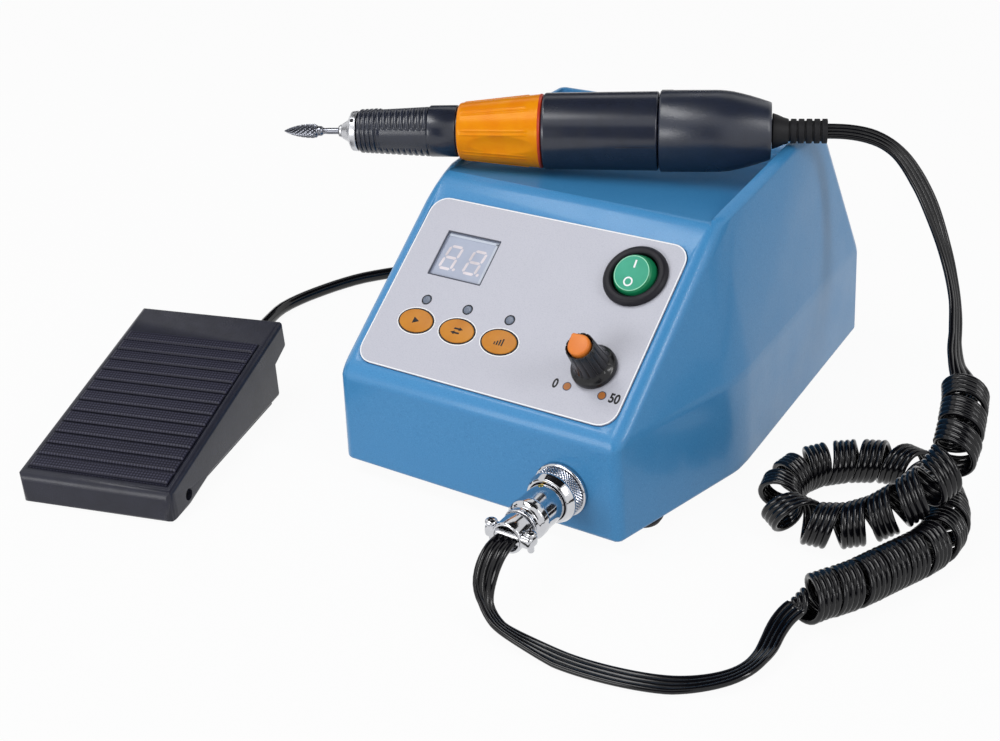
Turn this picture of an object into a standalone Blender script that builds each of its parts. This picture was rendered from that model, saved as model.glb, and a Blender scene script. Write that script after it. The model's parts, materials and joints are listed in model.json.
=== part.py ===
"""Dental laboratory micromotor: control unit with cradle, motor handpiece, curly cord and foot pedal.

Metres, +Z up. The control unit faces -Y, and its front face, centre line and the floor are the
zero planes of the layout. At the end the layout is moved so that the origin lies on the floor,
under the middle of the rigid pieces.
"""
import bpy
import bmesh
import math
import numpy as np
from mathutils import Matrix, Vector

# Fits shared by all pieces
GAP = 0.0003
RUNNING_GAP = 0.0004
OVERRUN = 0.004
MERGE = 0.00001
FINE = 24
MEDIUM = 18
SMALL = 12
SMOOTH_ANGLE = math.radians(35)

# Control unit: its width, depth and height, which the housing's own sizes are taken from
UNIT_WIDTH = 0.1440
UNIT_DEPTH = 0.1835
UNIT_HEIGHT = 0.0998

# Control unit housing: half widths are from the centre line, y runs back from the front face
FRONT_TAPER = 0.0147
REAR_TAPER = 0.0073
RIDGE_TAPER = 0.0148
CREST_TAPER = 0.0145
BACK_TOP_TAPER = 0.0143
BACK_TOP_STEP = 0.0266
RIDGE_DROP = 0.0070
BACK_TOP_DROP = 0.0002
FLOOR_GAP = 0.0050
CREASE_HEIGHT = 0.0416
BEND_HALF = UNIT_WIDTH / 2
FRONT_HALF = BEND_HALF - FRONT_TAPER
BEND_Y = 0.0608
REAR_HALF = BEND_HALF - REAR_TAPER
REAR_Y = UNIT_DEPTH
SIDE_DRAFT = 0.0010
FRONT_DRAFT = 0.0005
RIDGE_HALF = BEND_HALF - RIDGE_TAPER
RIDGE_Y = 0.0694
RIDGE_HEIGHT = UNIT_HEIGHT - RIDGE_DROP
CREST_HALF = BEND_HALF - CREST_TAPER
CREST_Y = 0.1300
CREST_HEIGHT = UNIT_HEIGHT
BACK_TOP_HALF = BEND_HALF - BACK_TOP_TAPER
BACK_TOP_Y = UNIT_DEPTH - BACK_TOP_STEP
BACK_TOP_HEIGHT = UNIT_HEIGHT - BACK_TOP_DROP
HOUSING_WALL = 0.0025
EDGE_ROUND = 0.0036
CREASE_ROUND_SHARE = 0.55
BEND_ROUND_SHARE = 2.6
FLAT_ENOUGH = math.radians(2.0)

# Cradle recess between the cheeks
CHEEK_WIDTH = 0.0037
CRADLE_DROP = 0.0130
CRADLE_FLOOR = 0.0038
CRADLE_HALF = CREST_HALF - CHEEK_WIDTH
CRADLE_LOW_Y = 0.1130
CRADLE_FLAT_Y = 0.1340
CRADLE_LOW_HEIGHT = UNIT_HEIGHT - CRADLE_DROP
CRADLE_BACK_Y = 0.1516
CRADLE_CORNER = 0.0030
CEILING_HEIGHT = CRADLE_LOW_HEIGHT - CRADLE_FLOOR

# Base plate and feet
PLATE_THICKNESS = 0.0020
FOOT_RADIUS = 0.0070
FOOT_X_FRONT = 0.0530
FOOT_Y_FRONT = 0.0240
FOOT_X_REAR = 0.0540
FOOT_Y_REAR = 0.1650

# Control panel: u to the right, s up the slope from the front crease
OVERLAY_HALF = 0.0522
OVERLAY_LOW = 0.0056
OVERLAY_HIGH = 0.0750
OVERLAY_CORNER = 0.0065
OVERLAY_THICKNESS = 0.0008
OVERLAY_RECESS = 0.0006
DISPLAY_U = -0.0290
DISPLAY_S = 0.0530
DISPLAY_WIDTH = 0.0222
DISPLAY_HEIGHT = 0.0180
WINDOW_THICKNESS = 0.0016
WINDOW_SINK = 0.0004
KEY_FIRST_U = -0.0353
KEY_PITCH = 0.0175
KEY_S = 0.0251
KEY_WIDTH = 0.0152
KEY_LENGTH = 0.0100
KEY_PROUD = 0.0004
KEY_TRAVEL = 0.0004
KEY_FLANGE = 0.0009
KEY_FLANGE_THICKNESS = 0.0010
KEY_STEM_RADIUS = 0.0018
LAMP_S = 0.0339
LAMP_RADIUS = 0.0016
LAMP_PROUD = 0.0003
BOARD_DEPTH = 0.0120
BOARD_THICKNESS = 0.0016
BOARD_LEFT = -0.0480
BOARD_RIGHT = 0.0160
BOARD_LOW = 0.0170
BOARD_HIGH = 0.0680
BOARD_BOSS_RADIUS = 0.0024
BOARD_BOSS_INSET = 0.0035

# Rocker switch
ROCKER_U = 0.0374
ROCKER_S = 0.0600
BEZEL_RADIUS = 0.0115
BEZEL_PROUD = 0.0021
BEZEL_BODY_RADIUS = 0.0100
BEZEL_DEPTH = 0.0140
BEZEL_FLOOR = 0.0020
ROCKER_BORE = 0.0087
ROCKER_RADIUS = 0.0078
ROCKER_FACE_RADIUS = 0.0068
ROCKER_PROUD = 0.0034
ROCKER_SKIRT = 0.0028
ROCKER_TILT = math.radians(10)

# Speed knob
KNOB_U = 0.0376
KNOB_S = 0.0246
KNOB_SKIRT_RADIUS = 0.0079
KNOB_SKIRT_HEIGHT = 0.0034
KNOB_LOW_RADIUS = 0.0061
KNOB_TOP_RADIUS = 0.0049
KNOB_HEIGHT = 0.0155
KNOB_FLUTES = 12
KNOB_FLUTE_RADIUS = 0.0007
KNOB_CAP_RADIUS = 0.0041
KNOB_CAP_PROUD = 0.0012
KNOB_CAP_SINK = 0.0020
POINTER_WIDTH = 0.0016
POINTER_ANGLE = math.radians(138)
SHAFT_RADIUS = 0.0030
SHAFT_FREE_END = 0.0120
POT_RADIUS = 0.0085
POT_DEPTH = 0.0110
POT_BUSH_RADIUS = 0.0045

# Motor socket and plug on the front face
PLUG_X = 0.0357
PLUG_HEIGHT = 0.0206
SOCKET_FLANGE_RADIUS = 0.0095
SOCKET_FLANGE = 0.0012
SOCKET_NECK_RADIUS = 0.0066
SOCKET_NECK = 0.0060
SOCKET_BODY_RADIUS = 0.0078
SOCKET_DEPTH = 0.0120
SOCKET_NUT_RADIUS = 0.0100
SOCKET_NUT = 0.0025
RING_RADIUS = 0.0092
RING_LENGTH = 0.0058
RING_CHAMFER = 0.0018
RING_LIP = 0.0016
BARREL_RADIUS = 0.0069
BARREL_LENGTH = 0.0150
BARREL_STEP_RADIUS = 0.0061
BARREL_STEP = 0.0030
CLAMP_LENGTH = 0.0075
CLAMP_RADIUS = 0.0056
CLAMP_BORE = 0.0044
CLAMP_EAR_HALF = 0.0090
CLAMP_EAR_THICKNESS = 0.0046

# Rear sockets, seen from behind on the lower back wall
REAR_SOCKET_HEIGHT = 0.0230
INLET_X = -0.0360
INLET_WIDTH = 0.0270
INLET_HEIGHT = 0.0200
INLET_FLANGE = 0.0020
INLET_RIM = 0.0025
INLET_BODY_DEPTH = 0.0200
INLET_CAVITY_WIDTH = 0.0210
INLET_CAVITY_HEIGHT = 0.0145
INLET_CAVITY_DEPTH = 0.0150
INLET_PIN_WIDTH = 0.0020
INLET_PIN_HEIGHT = 0.0040
INLET_PIN_LENGTH = 0.0110
INLET_PIN_PITCH = 0.0070
INLET_EARTH_RISE = 0.0030
FUSE_X = 0.0020
FUSE_RADIUS = 0.0068
FUSE_CAP = 0.0070
FUSE_BODY_RADIUS = 0.0058
FUSE_BODY = 0.0280
JACK_X = 0.0320
JACK_RADIUS = 0.0058
JACK_NUT = 0.0022
JACK_BODY_RADIUS = 0.0048
JACK_BODY = 0.0180
JACK_BORE = 0.0034
PEDAL_PLUG_RADIUS = 0.0045
PEDAL_PLUG_LENGTH = 0.0200
PEDAL_PLUG_PIN_RADIUS = 0.0030
PEDAL_PLUG_PIN = 0.0140
PEDAL_PLUG_TAIL_RADIUS = 0.0032
PEDAL_PLUG_TAIL = 0.0120

# Power supply on the base plate
TRANSFORMER_X = -0.0140
TRANSFORMER_Y = 0.1220
CORE_WIDTH = 0.0600
CORE_HEIGHT = 0.0500
CORE_STACK = 0.0240
CORE_LIMB = 0.0100
WINDING_LENGTH = 0.0380
POWER_BOARD_X = 0.0390
POWER_BOARD_Y = 0.1150
POWER_BOARD_WIDTH = 0.0360
POWER_BOARD_LENGTH = 0.0700
STANDOFF_HEIGHT = 0.0060
STANDOFF_RADIUS = 0.0030
CAPACITOR_RADIUS = 0.0090
CAPACITOR_HEIGHT = 0.0280
CAPACITOR_BACK = 0.0180

# Handpiece: distances run along its axis from the front of the spindle nose
HAND_X = -0.0953
HAND_Y = 0.0602
HAND_RISE = 0.0051
HAND_HEIGHT = UNIT_HEIGHT + HAND_RISE
HAND_YAW = math.radians(25.3)
NOSE_LENGTH = 0.0074
NOSE_RADIUS = 0.0075
NOSE_TIP_RADIUS = 0.0023
NOSE_THROAT_RADIUS = 0.0029
NOSE_FLANGE = 0.0024
SLEEVE_END = 0.0452
SLEEVE_FRONT_RADIUS = 0.0079
SLEEVE_REAR_RADIUS = 0.0095
SLEEVE_BORE = 0.0066
SLEEVE_RIB = 0.0005
FINE_RIBS = 4
FINE_RIB_LENGTH = 0.0072
GRIP_RIBS = 9
GRIP_RIB_END = 0.0347
COLLAR_RADIUS = 0.0088
LOCK_START = 0.0457
LOCK_END = 0.0768
LOCK_FRONT_RADIUS = 0.0104
LOCK_REAR_RADIUS = 0.0134
LOCK_BORE = 0.0092
LOCK_SCOOPS = 3
SCOOP_WIDTH = 0.0150
SCOOP_DEPTH = 0.0014
SCOOP_LENGTH = 0.0210
CASE_START = 0.0772
CASE_END = 0.1190
CASE_FRONT_RADIUS = 0.0139
CASE_REAR_RADIUS = 0.0143
CASE_BORE = 0.0122
CASE_FRONT_WALL = 0.0030
CAP_START = 0.1194
CAP_STRAIGHT_END = 0.1394
CAP_END = 0.1592
CAP_RADIUS = 0.0147
CAP_END_RADIUS = 0.0103
CAP_WALL = 0.0022
CAP_SHARES = [(0.00, 1.000), (0.30, 0.965), (0.65, 0.850), (1.00, 0.700)]
RELIEF_FLANGE_RADIUS = 0.0064
RELIEF_RADIUS = 0.0044
RELIEF_CONE = 0.0057
RELIEF_END = 0.1790
RELIEF_RIBS = 5
RELIEF_GROOVE = 0.0008
RELIEF_ROOT_RADIUS = 0.0040
RELIEF_ROOT = 0.0060
STATOR_RADIUS = 0.0119
STATOR_BORE = 0.0086
ROTOR_RADIUS = 0.0081
ROTOR_START = 0.0860
ROTOR_END = 0.1120
SPINDLE_RADIUS = 0.0030
SPINDLE_BARREL_RADIUS = 0.0050
SPINDLE_BARREL_START = 0.0210
SPINDLE_BARREL_END = 0.0640
SPINDLE_END = 0.1330
COLLET_BORE = 0.0015
COLLET_DEPTH = 0.0260
FRONT_BEARING_START = 0.0110
BEARING_LENGTH = 0.0060
REAR_BEARING_START = 0.1240
REAR_BEARING_RADIUS = 0.0122
BUR_SHANK_RADIUS = 0.00118
BUR_TIP = -0.0213
BUR_HEAD_END = -0.0068
BUR_SHANK_END = 0.0240
BUR_HEAD_RADIUS = 0.0027
BUR_NECK_RADIUS = 0.0014
BUR_SHARES = [(0.00, 0.00), (0.05, 0.16), (0.22, 0.62), (0.45, 0.93), (0.68, 1.00), (0.90, 0.84),
              (1.00, 0.60)]

# Foot pedal: u across, v back from its front edge
PEDAL_X = -0.1174
PEDAL_Y = -0.0670
PEDAL_YAW = math.radians(15.6)
PEDAL_WIDTH = 0.0620
PEDAL_FRONT_HEIGHT = 0.0123
PEDAL_LENGTH = 0.0980
PEDAL_BACK_HEIGHT = 0.0318
TREADLE_WALL = 0.0022
TREADLE_FLOOR_GAP = 0.0008
TREADLE_SKIRT_HEIGHT = 0.0040
TREADLE_SKIRT_START = 0.0126
TREADLE_SKIRT_RISE_END = 0.0296
TREADLE_BACK_WALL = 0.0887
TREADLE_LIP_LOW = 0.0173
TREADLE_LIP_TIP = 0.0207
TREADLE_ROUND = 0.0022
MAT_FRONT = 0.0045
MAT_BACK = 0.0840
MAT_SIDE = 0.0032
MAT_THICKNESS = 0.0016
MAT_RECESS = 0.0011
MAT_BARS = 13
MAT_GROOVE_WIDTH = 0.0008
MAT_GROOVE_DEPTH = 0.0007
PIVOT_V = 0.0124
PIVOT_HEIGHT = 0.0052
PIVOT_RADIUS = 0.0020
PIVOT_INSET = 0.0015
PIVOT_HALF = PEDAL_WIDTH / 2 - PIVOT_INSET
PEDAL_TRAVEL = math.radians(2.4)
BASE_FRONT = 0.0045
BASE_BACK = 0.0855
BASE_BOTTOM = 0.0012
BASE_FLOOR = 0.0026
BASE_WALL = 0.0022
BASE_FRONT_TOP = 0.0088
BASE_BACK_TOP = 0.0165
STRIP_WIDTH = 0.0080
STRIP_HEIGHT = 0.0022
STRIP_INSET = 0.0100
PEDAL_CORD_HEIGHT = 0.0088
GROMMET_RADIUS = 0.0038
GROMMET_TAIL_RADIUS = 0.0031
GROMMET_LENGTH = 0.0140
GROMMET_GROOVE = 0.0008
GROMMET_RIBS = 3
SPRING_V = 0.0640
SPRING_RADIUS = 0.0040
SPRING_WIRE_RADIUS = 0.0005
SPRING_TURNS = 4
SPRING_POINTS = 8
SWITCH_V = 0.0400
SWITCH_WIDTH = 0.0200
SWITCH_LENGTH = 0.0064
SWITCH_HEIGHT = 0.0100
PLUNGER_RADIUS = 0.0012
PLUNGER_HEIGHT = 0.0010

# Handpiece cord: four wires side by side in a flat ribbon
WIRES = 4
WIRE_DIAMETER = 0.0020
RIBBON_WIDTH = WIRES * WIRE_DIAMETER
RIBBON_VALLEY = 0.0006
CURL_RADIUS = 0.0067
CURL_PITCH = 0.0087
CURL_CLEARANCE = 0.0005
CURL_POINTS = 8
CURL_EASE_TURNS = 0.75
CURL_LEAD = 0.0090
ROUTE_STEP = 0.0005
ROUTE_SOFTNESS = 0.0040
STRAIGHT_EXIT = 0.0060
LEAD_STEP = 0.0070
FRONT_LEAD_ROUTE = [
    (0.0354, -0.0450, 0.0155), (0.0366, -0.0492, 0.0098), (0.0410, -0.0522, 0.0050),
    (0.0482, -0.0542, 0.0023), (0.0568, -0.0552, 0.0014), (0.0690, -0.0562, 0.0013),
    (0.0795, -0.0556, 0.0013), (0.0915, -0.0535, 0.0013), (0.1026, -0.0500, 0.0013),
    (0.1112, -0.0446, 0.0013), (0.1180, -0.0372, 0.0014), (0.1206, -0.0300, 0.0018),
    (0.1205, -0.0220, 0.0030),
]
CURL_ROUTE = [
    (0.1198, -0.0140, 0.0054), (0.1208, -0.0072, 0.0072), (0.1236, -0.0010, 0.0080),
    (0.1274, 0.0052, 0.0080), (0.1328, 0.0134, 0.0080), (0.1376, 0.0243, 0.0080),
    (0.1420, 0.0339, 0.0080), (0.1456, 0.0428, 0.0080), (0.1468, 0.0531, 0.0080),
    (0.1446, 0.0631, 0.0080), (0.1400, 0.0722, 0.0080), (0.1335, 0.0807, 0.0080),
    (0.1262, 0.0858, 0.0080), (0.1201, 0.0870, 0.0080), (0.1146, 0.0857, 0.0080),
    (0.1086, 0.0832, 0.0080), (0.1027, 0.0796, 0.0080), (0.0974, 0.0748, 0.0080),
    (0.0927, 0.0685, 0.0080), (0.0905, 0.0591, 0.0080), (0.0915, 0.0496, 0.0080),
    (0.0954, 0.0426, 0.0080), (0.1021, 0.0388, 0.0080), (0.1090, 0.0384, 0.0080),
    (0.1155, 0.0400, 0.0082), (0.1221, 0.0424, 0.0102), (0.1286, 0.0443, 0.0138),
    (0.1341, 0.0467, 0.0186), (0.1390, 0.0503, 0.0231), (0.1430, 0.0549, 0.0267),
    (0.1448, 0.0600, 0.0301), (0.1448, 0.0655, 0.0335), (0.1436, 0.0720, 0.0369),
    (0.1420, 0.0788, 0.0397), (0.1400, 0.0861, 0.0419), (0.1365, 0.0929, 0.0434),
    (0.1315, 0.1001, 0.0448),
]
REAR_LEAD_ROUTE = [
    (0.1276, 0.1095, 0.0479), (0.1237, 0.1202, 0.0538), (0.1188, 0.1284, 0.0608),
    (0.1127, 0.1354, 0.0698), (0.1040, 0.1415, 0.0827), (0.0983, 0.1434, 0.0901),
    (0.0923, 0.1442, 0.0971), (0.0875, 0.1437, 0.1007), (0.0815, 0.1422, 0.1036),
]

# Pedal cord: a round cable, its spare length wound behind the unit
CABLE_DIAMETER = 0.0050
CABLE_STEP = 0.0125
CABLE_LAY = 0.00548
COIL_LOOPS = 6
COIL_POINTS = 24
COIL_X = -0.0450
COIL_Y = 0.2350
COIL_INNER = 0.0190
COIL_START = math.radians(90)
COIL_LEAD = 0.0060
PEDAL_LEAD_ROUTE = [
    (-0.1500, 0.0489, 0.0072), (-0.1560, 0.0630, 0.0042), (-0.1612, 0.0775, 0.0031),
    (-0.1640, 0.0890, 0.0028), (-0.1630, 0.1004, 0.0028), (-0.1602, 0.1111, 0.0028),
    (-0.1566, 0.1212, 0.0028), (-0.1520, 0.1306, 0.0028), (-0.1458, 0.1388, 0.0028),
    (-0.1370, 0.1490, 0.0028), (-0.1270, 0.1620, 0.0028), (-0.1180, 0.1770, 0.0028),
    (-0.1105, 0.1950, 0.0028), (-0.1045, 0.2130, 0.0028), (-0.0980, 0.2310, 0.0028),
    (-0.0890, 0.2470, 0.0028), (-0.0770, 0.2595, 0.0028), (-0.0630, 0.2678, 0.0028),
]
TAIL_ROUTE = [
    (-0.0250, 0.2700, 0.0083), (-0.0080, 0.2665, 0.0086), (0.0080, 0.2600, 0.0105),
    (0.0205, 0.2500, 0.0145), (0.0285, 0.2385, 0.0195), (0.0315, 0.2290, 0.0224),
]


def clear_scene():
    """Start from an empty file without closing it."""
    for old in list(bpy.data.objects):
        bpy.data.objects.remove(old, do_unlink=True)


def collection(name):
    made = bpy.data.collections.new(name)
    bpy.context.scene.collection.children.link(made)
    return made


def material(name, colour, roughness, metallic=0.0):
    made = bpy.data.materials.new(name)
    made.use_nodes = True
    shader = made.node_tree.nodes["Principled BSDF"]
    shader.inputs["Base Color"].default_value = (*colour, 1.0)
    shader.inputs["Roughness"].default_value = roughness
    shader.inputs["Metallic"].default_value = metallic
    return made


clear_scene()
PARTS = collection("dental_micromotor")
CUTTERS = collection("dental_micromotor_cutters")

PAINT = (0.13, 0.37, 0.66)
BLACK = (0.018, 0.019, 0.021)
RUBBER = (0.012, 0.012, 0.013)
PALE_GREY = (0.62, 0.63, 0.67)
DISPLAY_GREY = (0.25, 0.27, 0.33)
OCHRE = (0.72, 0.36, 0.06)
ORANGE = (0.90, 0.27, 0.03)
AMBER = (0.95, 0.38, 0.01)
GREEN = (0.03, 0.42, 0.17)
LAMP_GREY = (0.22, 0.24, 0.29)
BOARD_GREEN = (0.02, 0.16, 0.06)
STEEL = (0.62, 0.63, 0.65)
CHROME = (0.80, 0.80, 0.82)
COPPER = (0.72, 0.32, 0.15)
MAGNET = (0.08, 0.08, 0.09)


def empty(name, place, parent=None):
    """An empty whose matrix is the frame of the pieces under it."""
    made = bpy.data.objects.new(name, None)
    PARTS.objects.link(made)
    made.parent = parent
    made.matrix_local = place
    made.hide_render = True
    return made


def node(name, mesh, finish, parent, place=None):
    """Wrap a mesh as one visible piece with its own material."""
    made = bpy.data.objects.new(name, mesh)
    PARTS.objects.link(made)
    made.parent = parent
    made.matrix_local = place or Matrix.Identity(4)
    colour, roughness, metallic = finish
    made.data.materials.append(material(name + "_finish", colour, roughness, metallic))
    return made


def cutter(name, mesh, parent, place=None):
    """Wrap a mesh as a tool that only shapes its neighbours."""
    made = bpy.data.objects.new(name, mesh)
    CUTTERS.objects.link(made)
    made.parent = parent
    made.matrix_local = place or Matrix.Identity(4)
    made.display_type = "WIRE"
    made.hide_render = True
    return made


def boolean(piece, tool, operation="DIFFERENCE"):
    step = piece.modifiers.new(operation.lower() + "_" + tool.name, "BOOLEAN")
    step.operation = operation
    step.solver = "EXACT"
    step.object = tool


def mesh_from(bm, name, smooth=True):
    bmesh.ops.recalc_face_normals(bm, faces=bm.faces[:])
    mesh = bpy.data.meshes.new(name)
    bm.to_mesh(mesh)
    bm.free()
    if smooth:
        mesh.shade_smooth()
        mesh.set_sharp_from_angle(angle=SMOOTH_ANGLE)
    return mesh


def box_mesh(name, size, centre=(0, 0, 0), rounding=0.0, segments=2, upright_only=False):
    """A block, with its edges rounded, or only the edges along Z."""
    bm = bmesh.new()
    bmesh.ops.create_cube(bm, size=1.0)
    bmesh.ops.scale(bm, vec=Vector(size), verts=bm.verts[:])
    if rounding:
        edges = [
            edge for edge in bm.edges
            if not upright_only or abs(edge.verts[0].co.z - edge.verts[1].co.z) > size[2] / 2
        ]
        bmesh.ops.bevel(bm, geom=edges, offset=rounding, segments=segments, profile=0.5,
                        affect="EDGES", clamp_overlap=True, material=-1)
    bmesh.ops.translate(bm, vec=Vector(centre), verts=bm.verts[:])
    return mesh_from(bm, name)


def drum_mesh(name, radius, low, high, steps=MEDIUM, top_radius=None, stretch=(1, 1)):
    """A cylinder or cone along Z from low to high, made oval by stretch."""
    bm = bmesh.new()
    bmesh.ops.create_cone(bm, cap_ends=True, segments=steps, radius1=radius,
                          radius2=radius if top_radius is None else top_radius, depth=high - low)
    bmesh.ops.scale(bm, vec=Vector((*stretch, 1)), verts=bm.verts[:])
    bmesh.ops.translate(bm, vec=Vector((0, 0, (low + high) / 2)), verts=bm.verts[:])
    return mesh_from(bm, name)


def turned(name, profile, finish, parent, place=None, steps=MEDIUM, bore=False):
    """A turned piece along Z. The profile holds (height, radius) pairs.

    A solid profile runs down the outside from the top and closes on the axis. With a bore the
    profile is a closed loop: down the outside, then up the inside.
    """
    points = [(radius, height) for height, radius in profile]
    bm = bmesh.new()
    verts = [bm.verts.new((radius, 0, height)) for radius, height in points]
    for first, second in zip(verts, verts[1:]):
        bm.edges.new((first, second))
    if bore:
        bm.edges.new((verts[-1], verts[0]))
    mesh = bpy.data.meshes.new(name)
    bm.to_mesh(mesh)
    bm.free()
    piece = node(name, mesh, finish, parent, place)
    screw = piece.modifiers.new("turn", "SCREW")
    screw.axis = "Z"
    screw.steps = steps
    screw.render_steps = steps
    screw.use_merge_vertices = True
    screw.merge_threshold = MERGE
    screw.use_smooth_shade = False
    return piece


def solid_profile(outside):
    """Close an outside profile, listed from the low end up, on the axis."""
    heights = [height for height, _ in outside]
    down = list(reversed(outside))
    start = [] if down[0][1] == 0 else [(max(heights), 0)]
    end = [] if down[-1][1] == 0 else [(min(heights), 0)]
    return start + down + end


def tube_profile(outside, inside):
    """A loop from an outside and an inside profile, both listed from the low end up."""
    return list(reversed(outside)) + list(inside)


def prism(name, outline, half, finish=None, parent=None, place=None, rounding=0.0, segments=2):
    """Extrude an outline of (y, z) pairs across X from -half to half."""
    bm = bmesh.new()
    face = bm.faces.new([bm.verts.new((-half, y, z)) for y, z in outline])
    grown = bmesh.ops.extrude_face_region(bm, geom=[face])
    moved = [item for item in grown["geom"] if isinstance(item, bmesh.types.BMVert)]
    bmesh.ops.translate(bm, vec=Vector((2 * half, 0, 0)), verts=moved)
    if rounding:
        bmesh.ops.recalc_face_normals(bm, faces=bm.faces[:])
        bmesh.ops.bevel(bm, geom=bm.edges[:], offset=rounding, segments=segments, profile=0.5,
                        affect="EDGES", clamp_overlap=True, material=-1)
    mesh = mesh_from(bm, name)
    if finish is None:
        return cutter(name, mesh, parent, place)
    return node(name, mesh, finish, parent, place)


def shift(x=0, y=0, z=0):
    return Matrix.Translation((x, y, z))


PANEL_RISE = RIDGE_HEIGHT - CREASE_HEIGHT
PANEL_RUN = RIDGE_Y - FRONT_DRAFT
PANEL_ANGLE = math.atan2(PANEL_RISE, PANEL_RUN)

UNIT = empty("control_unit_frame", Matrix.Identity(4))
PANEL = empty(
    "control_panel_frame",
    shift(0, FRONT_DRAFT, CREASE_HEIGHT) @ Matrix.Rotation(PANEL_ANGLE, 4, "X"),
    UNIT,
)
PLUG_PLACE = shift(PLUG_X, 0, PLUG_HEIGHT) @ Matrix.Rotation(math.radians(90), 4, "X")
FRONT = empty("motor_plug_frame", PLUG_PLACE, UNIT)
HAND_PLACE = (shift(HAND_X, HAND_Y, HAND_HEIGHT) @ Matrix.Rotation(HAND_YAW, 4, "Z")
              @ Matrix.Rotation(math.radians(90), 4, "Y"))
HAND = empty("handpiece_frame", HAND_PLACE, UNIT)
PEDAL_PLACE = shift(PEDAL_X, PEDAL_Y, 0) @ Matrix.Rotation(PEDAL_YAW, 4, "Z")
PEDAL = empty("foot_pedal_frame", PEDAL_PLACE, UNIT)
PIVOT = empty("treadle_pivot_frame", shift(0, PIVOT_V, PIVOT_HEIGHT), PEDAL)


def panel_height(y):
    """Height of the sloping control panel at a distance back from the front."""
    return CREASE_HEIGHT + (y - FRONT_DRAFT) * PANEL_RISE / PANEL_RUN


def hull_of(points):
    """The convex solid over points and their mirror images in the centre plane."""
    bm = bmesh.new()
    for x, y, z in points:
        bm.verts.new((x, y, z))
        bm.verts.new((-x, y, z))
    bmesh.ops.convex_hull(bm, input=bm.verts[:])
    bmesh.ops.dissolve_limit(bm, angle_limit=FLAT_ENOUGH, verts=bm.verts[:], edges=bm.edges[:])
    bmesh.ops.recalc_face_normals(bm, faces=bm.faces[:])
    return bm


def housing_corners():
    """Corners of the housing, right half, from the floor to the crest."""
    low = [(FRONT_HALF, 0, FLOOR_GAP), (BEND_HALF, BEND_Y, FLOOR_GAP),
           (REAR_HALF, REAR_Y, FLOOR_GAP)]
    crease = [(FRONT_HALF - SIDE_DRAFT, FRONT_DRAFT, CREASE_HEIGHT),
              (BEND_HALF - SIDE_DRAFT, BEND_Y, CREASE_HEIGHT),
              (REAR_HALF - SIDE_DRAFT, REAR_Y, CREASE_HEIGHT)]
    top = [(RIDGE_HALF, RIDGE_Y, RIDGE_HEIGHT), (CREST_HALF, CREST_Y, CREST_HEIGHT),
           (BACK_TOP_HALF, BACK_TOP_Y, BACK_TOP_HEIGHT)]
    return low, crease, top


def round_weight(edge):
    """How strongly an edge of the housing is rounded, as a share of the edge round."""
    a, b = (vert.co for vert in edge.verts)
    same_side = a.x * b.x > 0
    if same_side and all(BEND_Y - OVERRUN < co.y < RIDGE_Y + OVERRUN for co in (a, b)):
        return BEND_ROUND_SHARE
    if abs(a.z - b.z) < GAP and abs(a.z - FLOOR_GAP) < GAP:
        return CREASE_ROUND_SHARE
    if abs(a.z - CREASE_HEIGHT) < GAP and abs(b.z - CREASE_HEIGHT) < GAP and same_side:
        return CREASE_ROUND_SHARE
    if edge.calc_face_angle(0) < FLAT_ENOUGH * 5:
        return 0.0
    return 1.0


def housing_block():
    """The painted moulding before anything is cut from it, with its rounded edges."""
    low, crease, top = housing_corners()
    bm = hull_of(low + crease + top)
    weights = bm.edges.layers.float.new("bevel_weight_edge")
    for edge in bm.edges:
        edge[weights] = round_weight(edge) / BEND_ROUND_SHARE
    return mesh_from(bm, "housing_shell", smooth=False)


def housing_hollow():
    """The room inside the housing, open below."""
    wall = HOUSING_WALL
    panel_drop = wall / math.cos(PANEL_ANGLE)
    floor = FLOOR_GAP - OVERRUN
    ceiling_y = FRONT_DRAFT + (CEILING_HEIGHT + panel_drop - CREASE_HEIGHT) * PANEL_RUN / PANEL_RISE
    back_slope = (REAR_Y - BACK_TOP_Y) / (BACK_TOP_HEIGHT - CREASE_HEIGHT)
    back_y = REAR_Y - wall - (CEILING_HEIGHT - CREASE_HEIGHT) * back_slope - wall
    corners = [
        (FRONT_HALF - SIDE_DRAFT - wall, wall, floor),
        (BEND_HALF - SIDE_DRAFT - wall, BEND_Y, floor),
        (REAR_HALF - SIDE_DRAFT - wall, REAR_Y - wall, floor),
        (FRONT_HALF - SIDE_DRAFT - wall * 1.5, wall, panel_height(wall) - panel_drop),
        (BEND_HALF - SIDE_DRAFT - wall * 1.5, BEND_Y, CREASE_HEIGHT),
        (REAR_HALF - SIDE_DRAFT - wall * 1.5, REAR_Y - wall, CREASE_HEIGHT),
        (RIDGE_HALF - wall, ceiling_y, CEILING_HEIGHT),
        (CREST_HALF - wall, back_y, CEILING_HEIGHT),
    ]
    return cutter("housing_hollow", mesh_from(hull_of(corners), "housing_hollow"), UNIT)


def cradle_cutter():
    """The recess that the handpiece lies in, with a floor that falls back from the ridge."""
    arc_steps = 6
    rise = BACK_TOP_HEIGHT - CRADLE_LOW_HEIGHT
    run = CRADLE_BACK_Y - CRADLE_FLAT_Y
    curve = []
    for step in range(arc_steps + 1):
        turn = math.radians(90) * step / arc_steps
        curve.append((CRADLE_FLAT_Y + run * math.sin(turn),
                      CRADLE_LOW_HEIGHT + rise * (1 - math.cos(turn))))
    outline = [(RIDGE_Y, RIDGE_HEIGHT), (CRADLE_LOW_Y, CRADLE_LOW_HEIGHT)] + curve
    outline += [(CRADLE_BACK_Y, BACK_TOP_HEIGHT + OVERRUN), (RIDGE_Y, BACK_TOP_HEIGHT + OVERRUN)]
    return prism("cradle_recess", outline, CRADLE_HALF, parent=UNIT)


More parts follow.
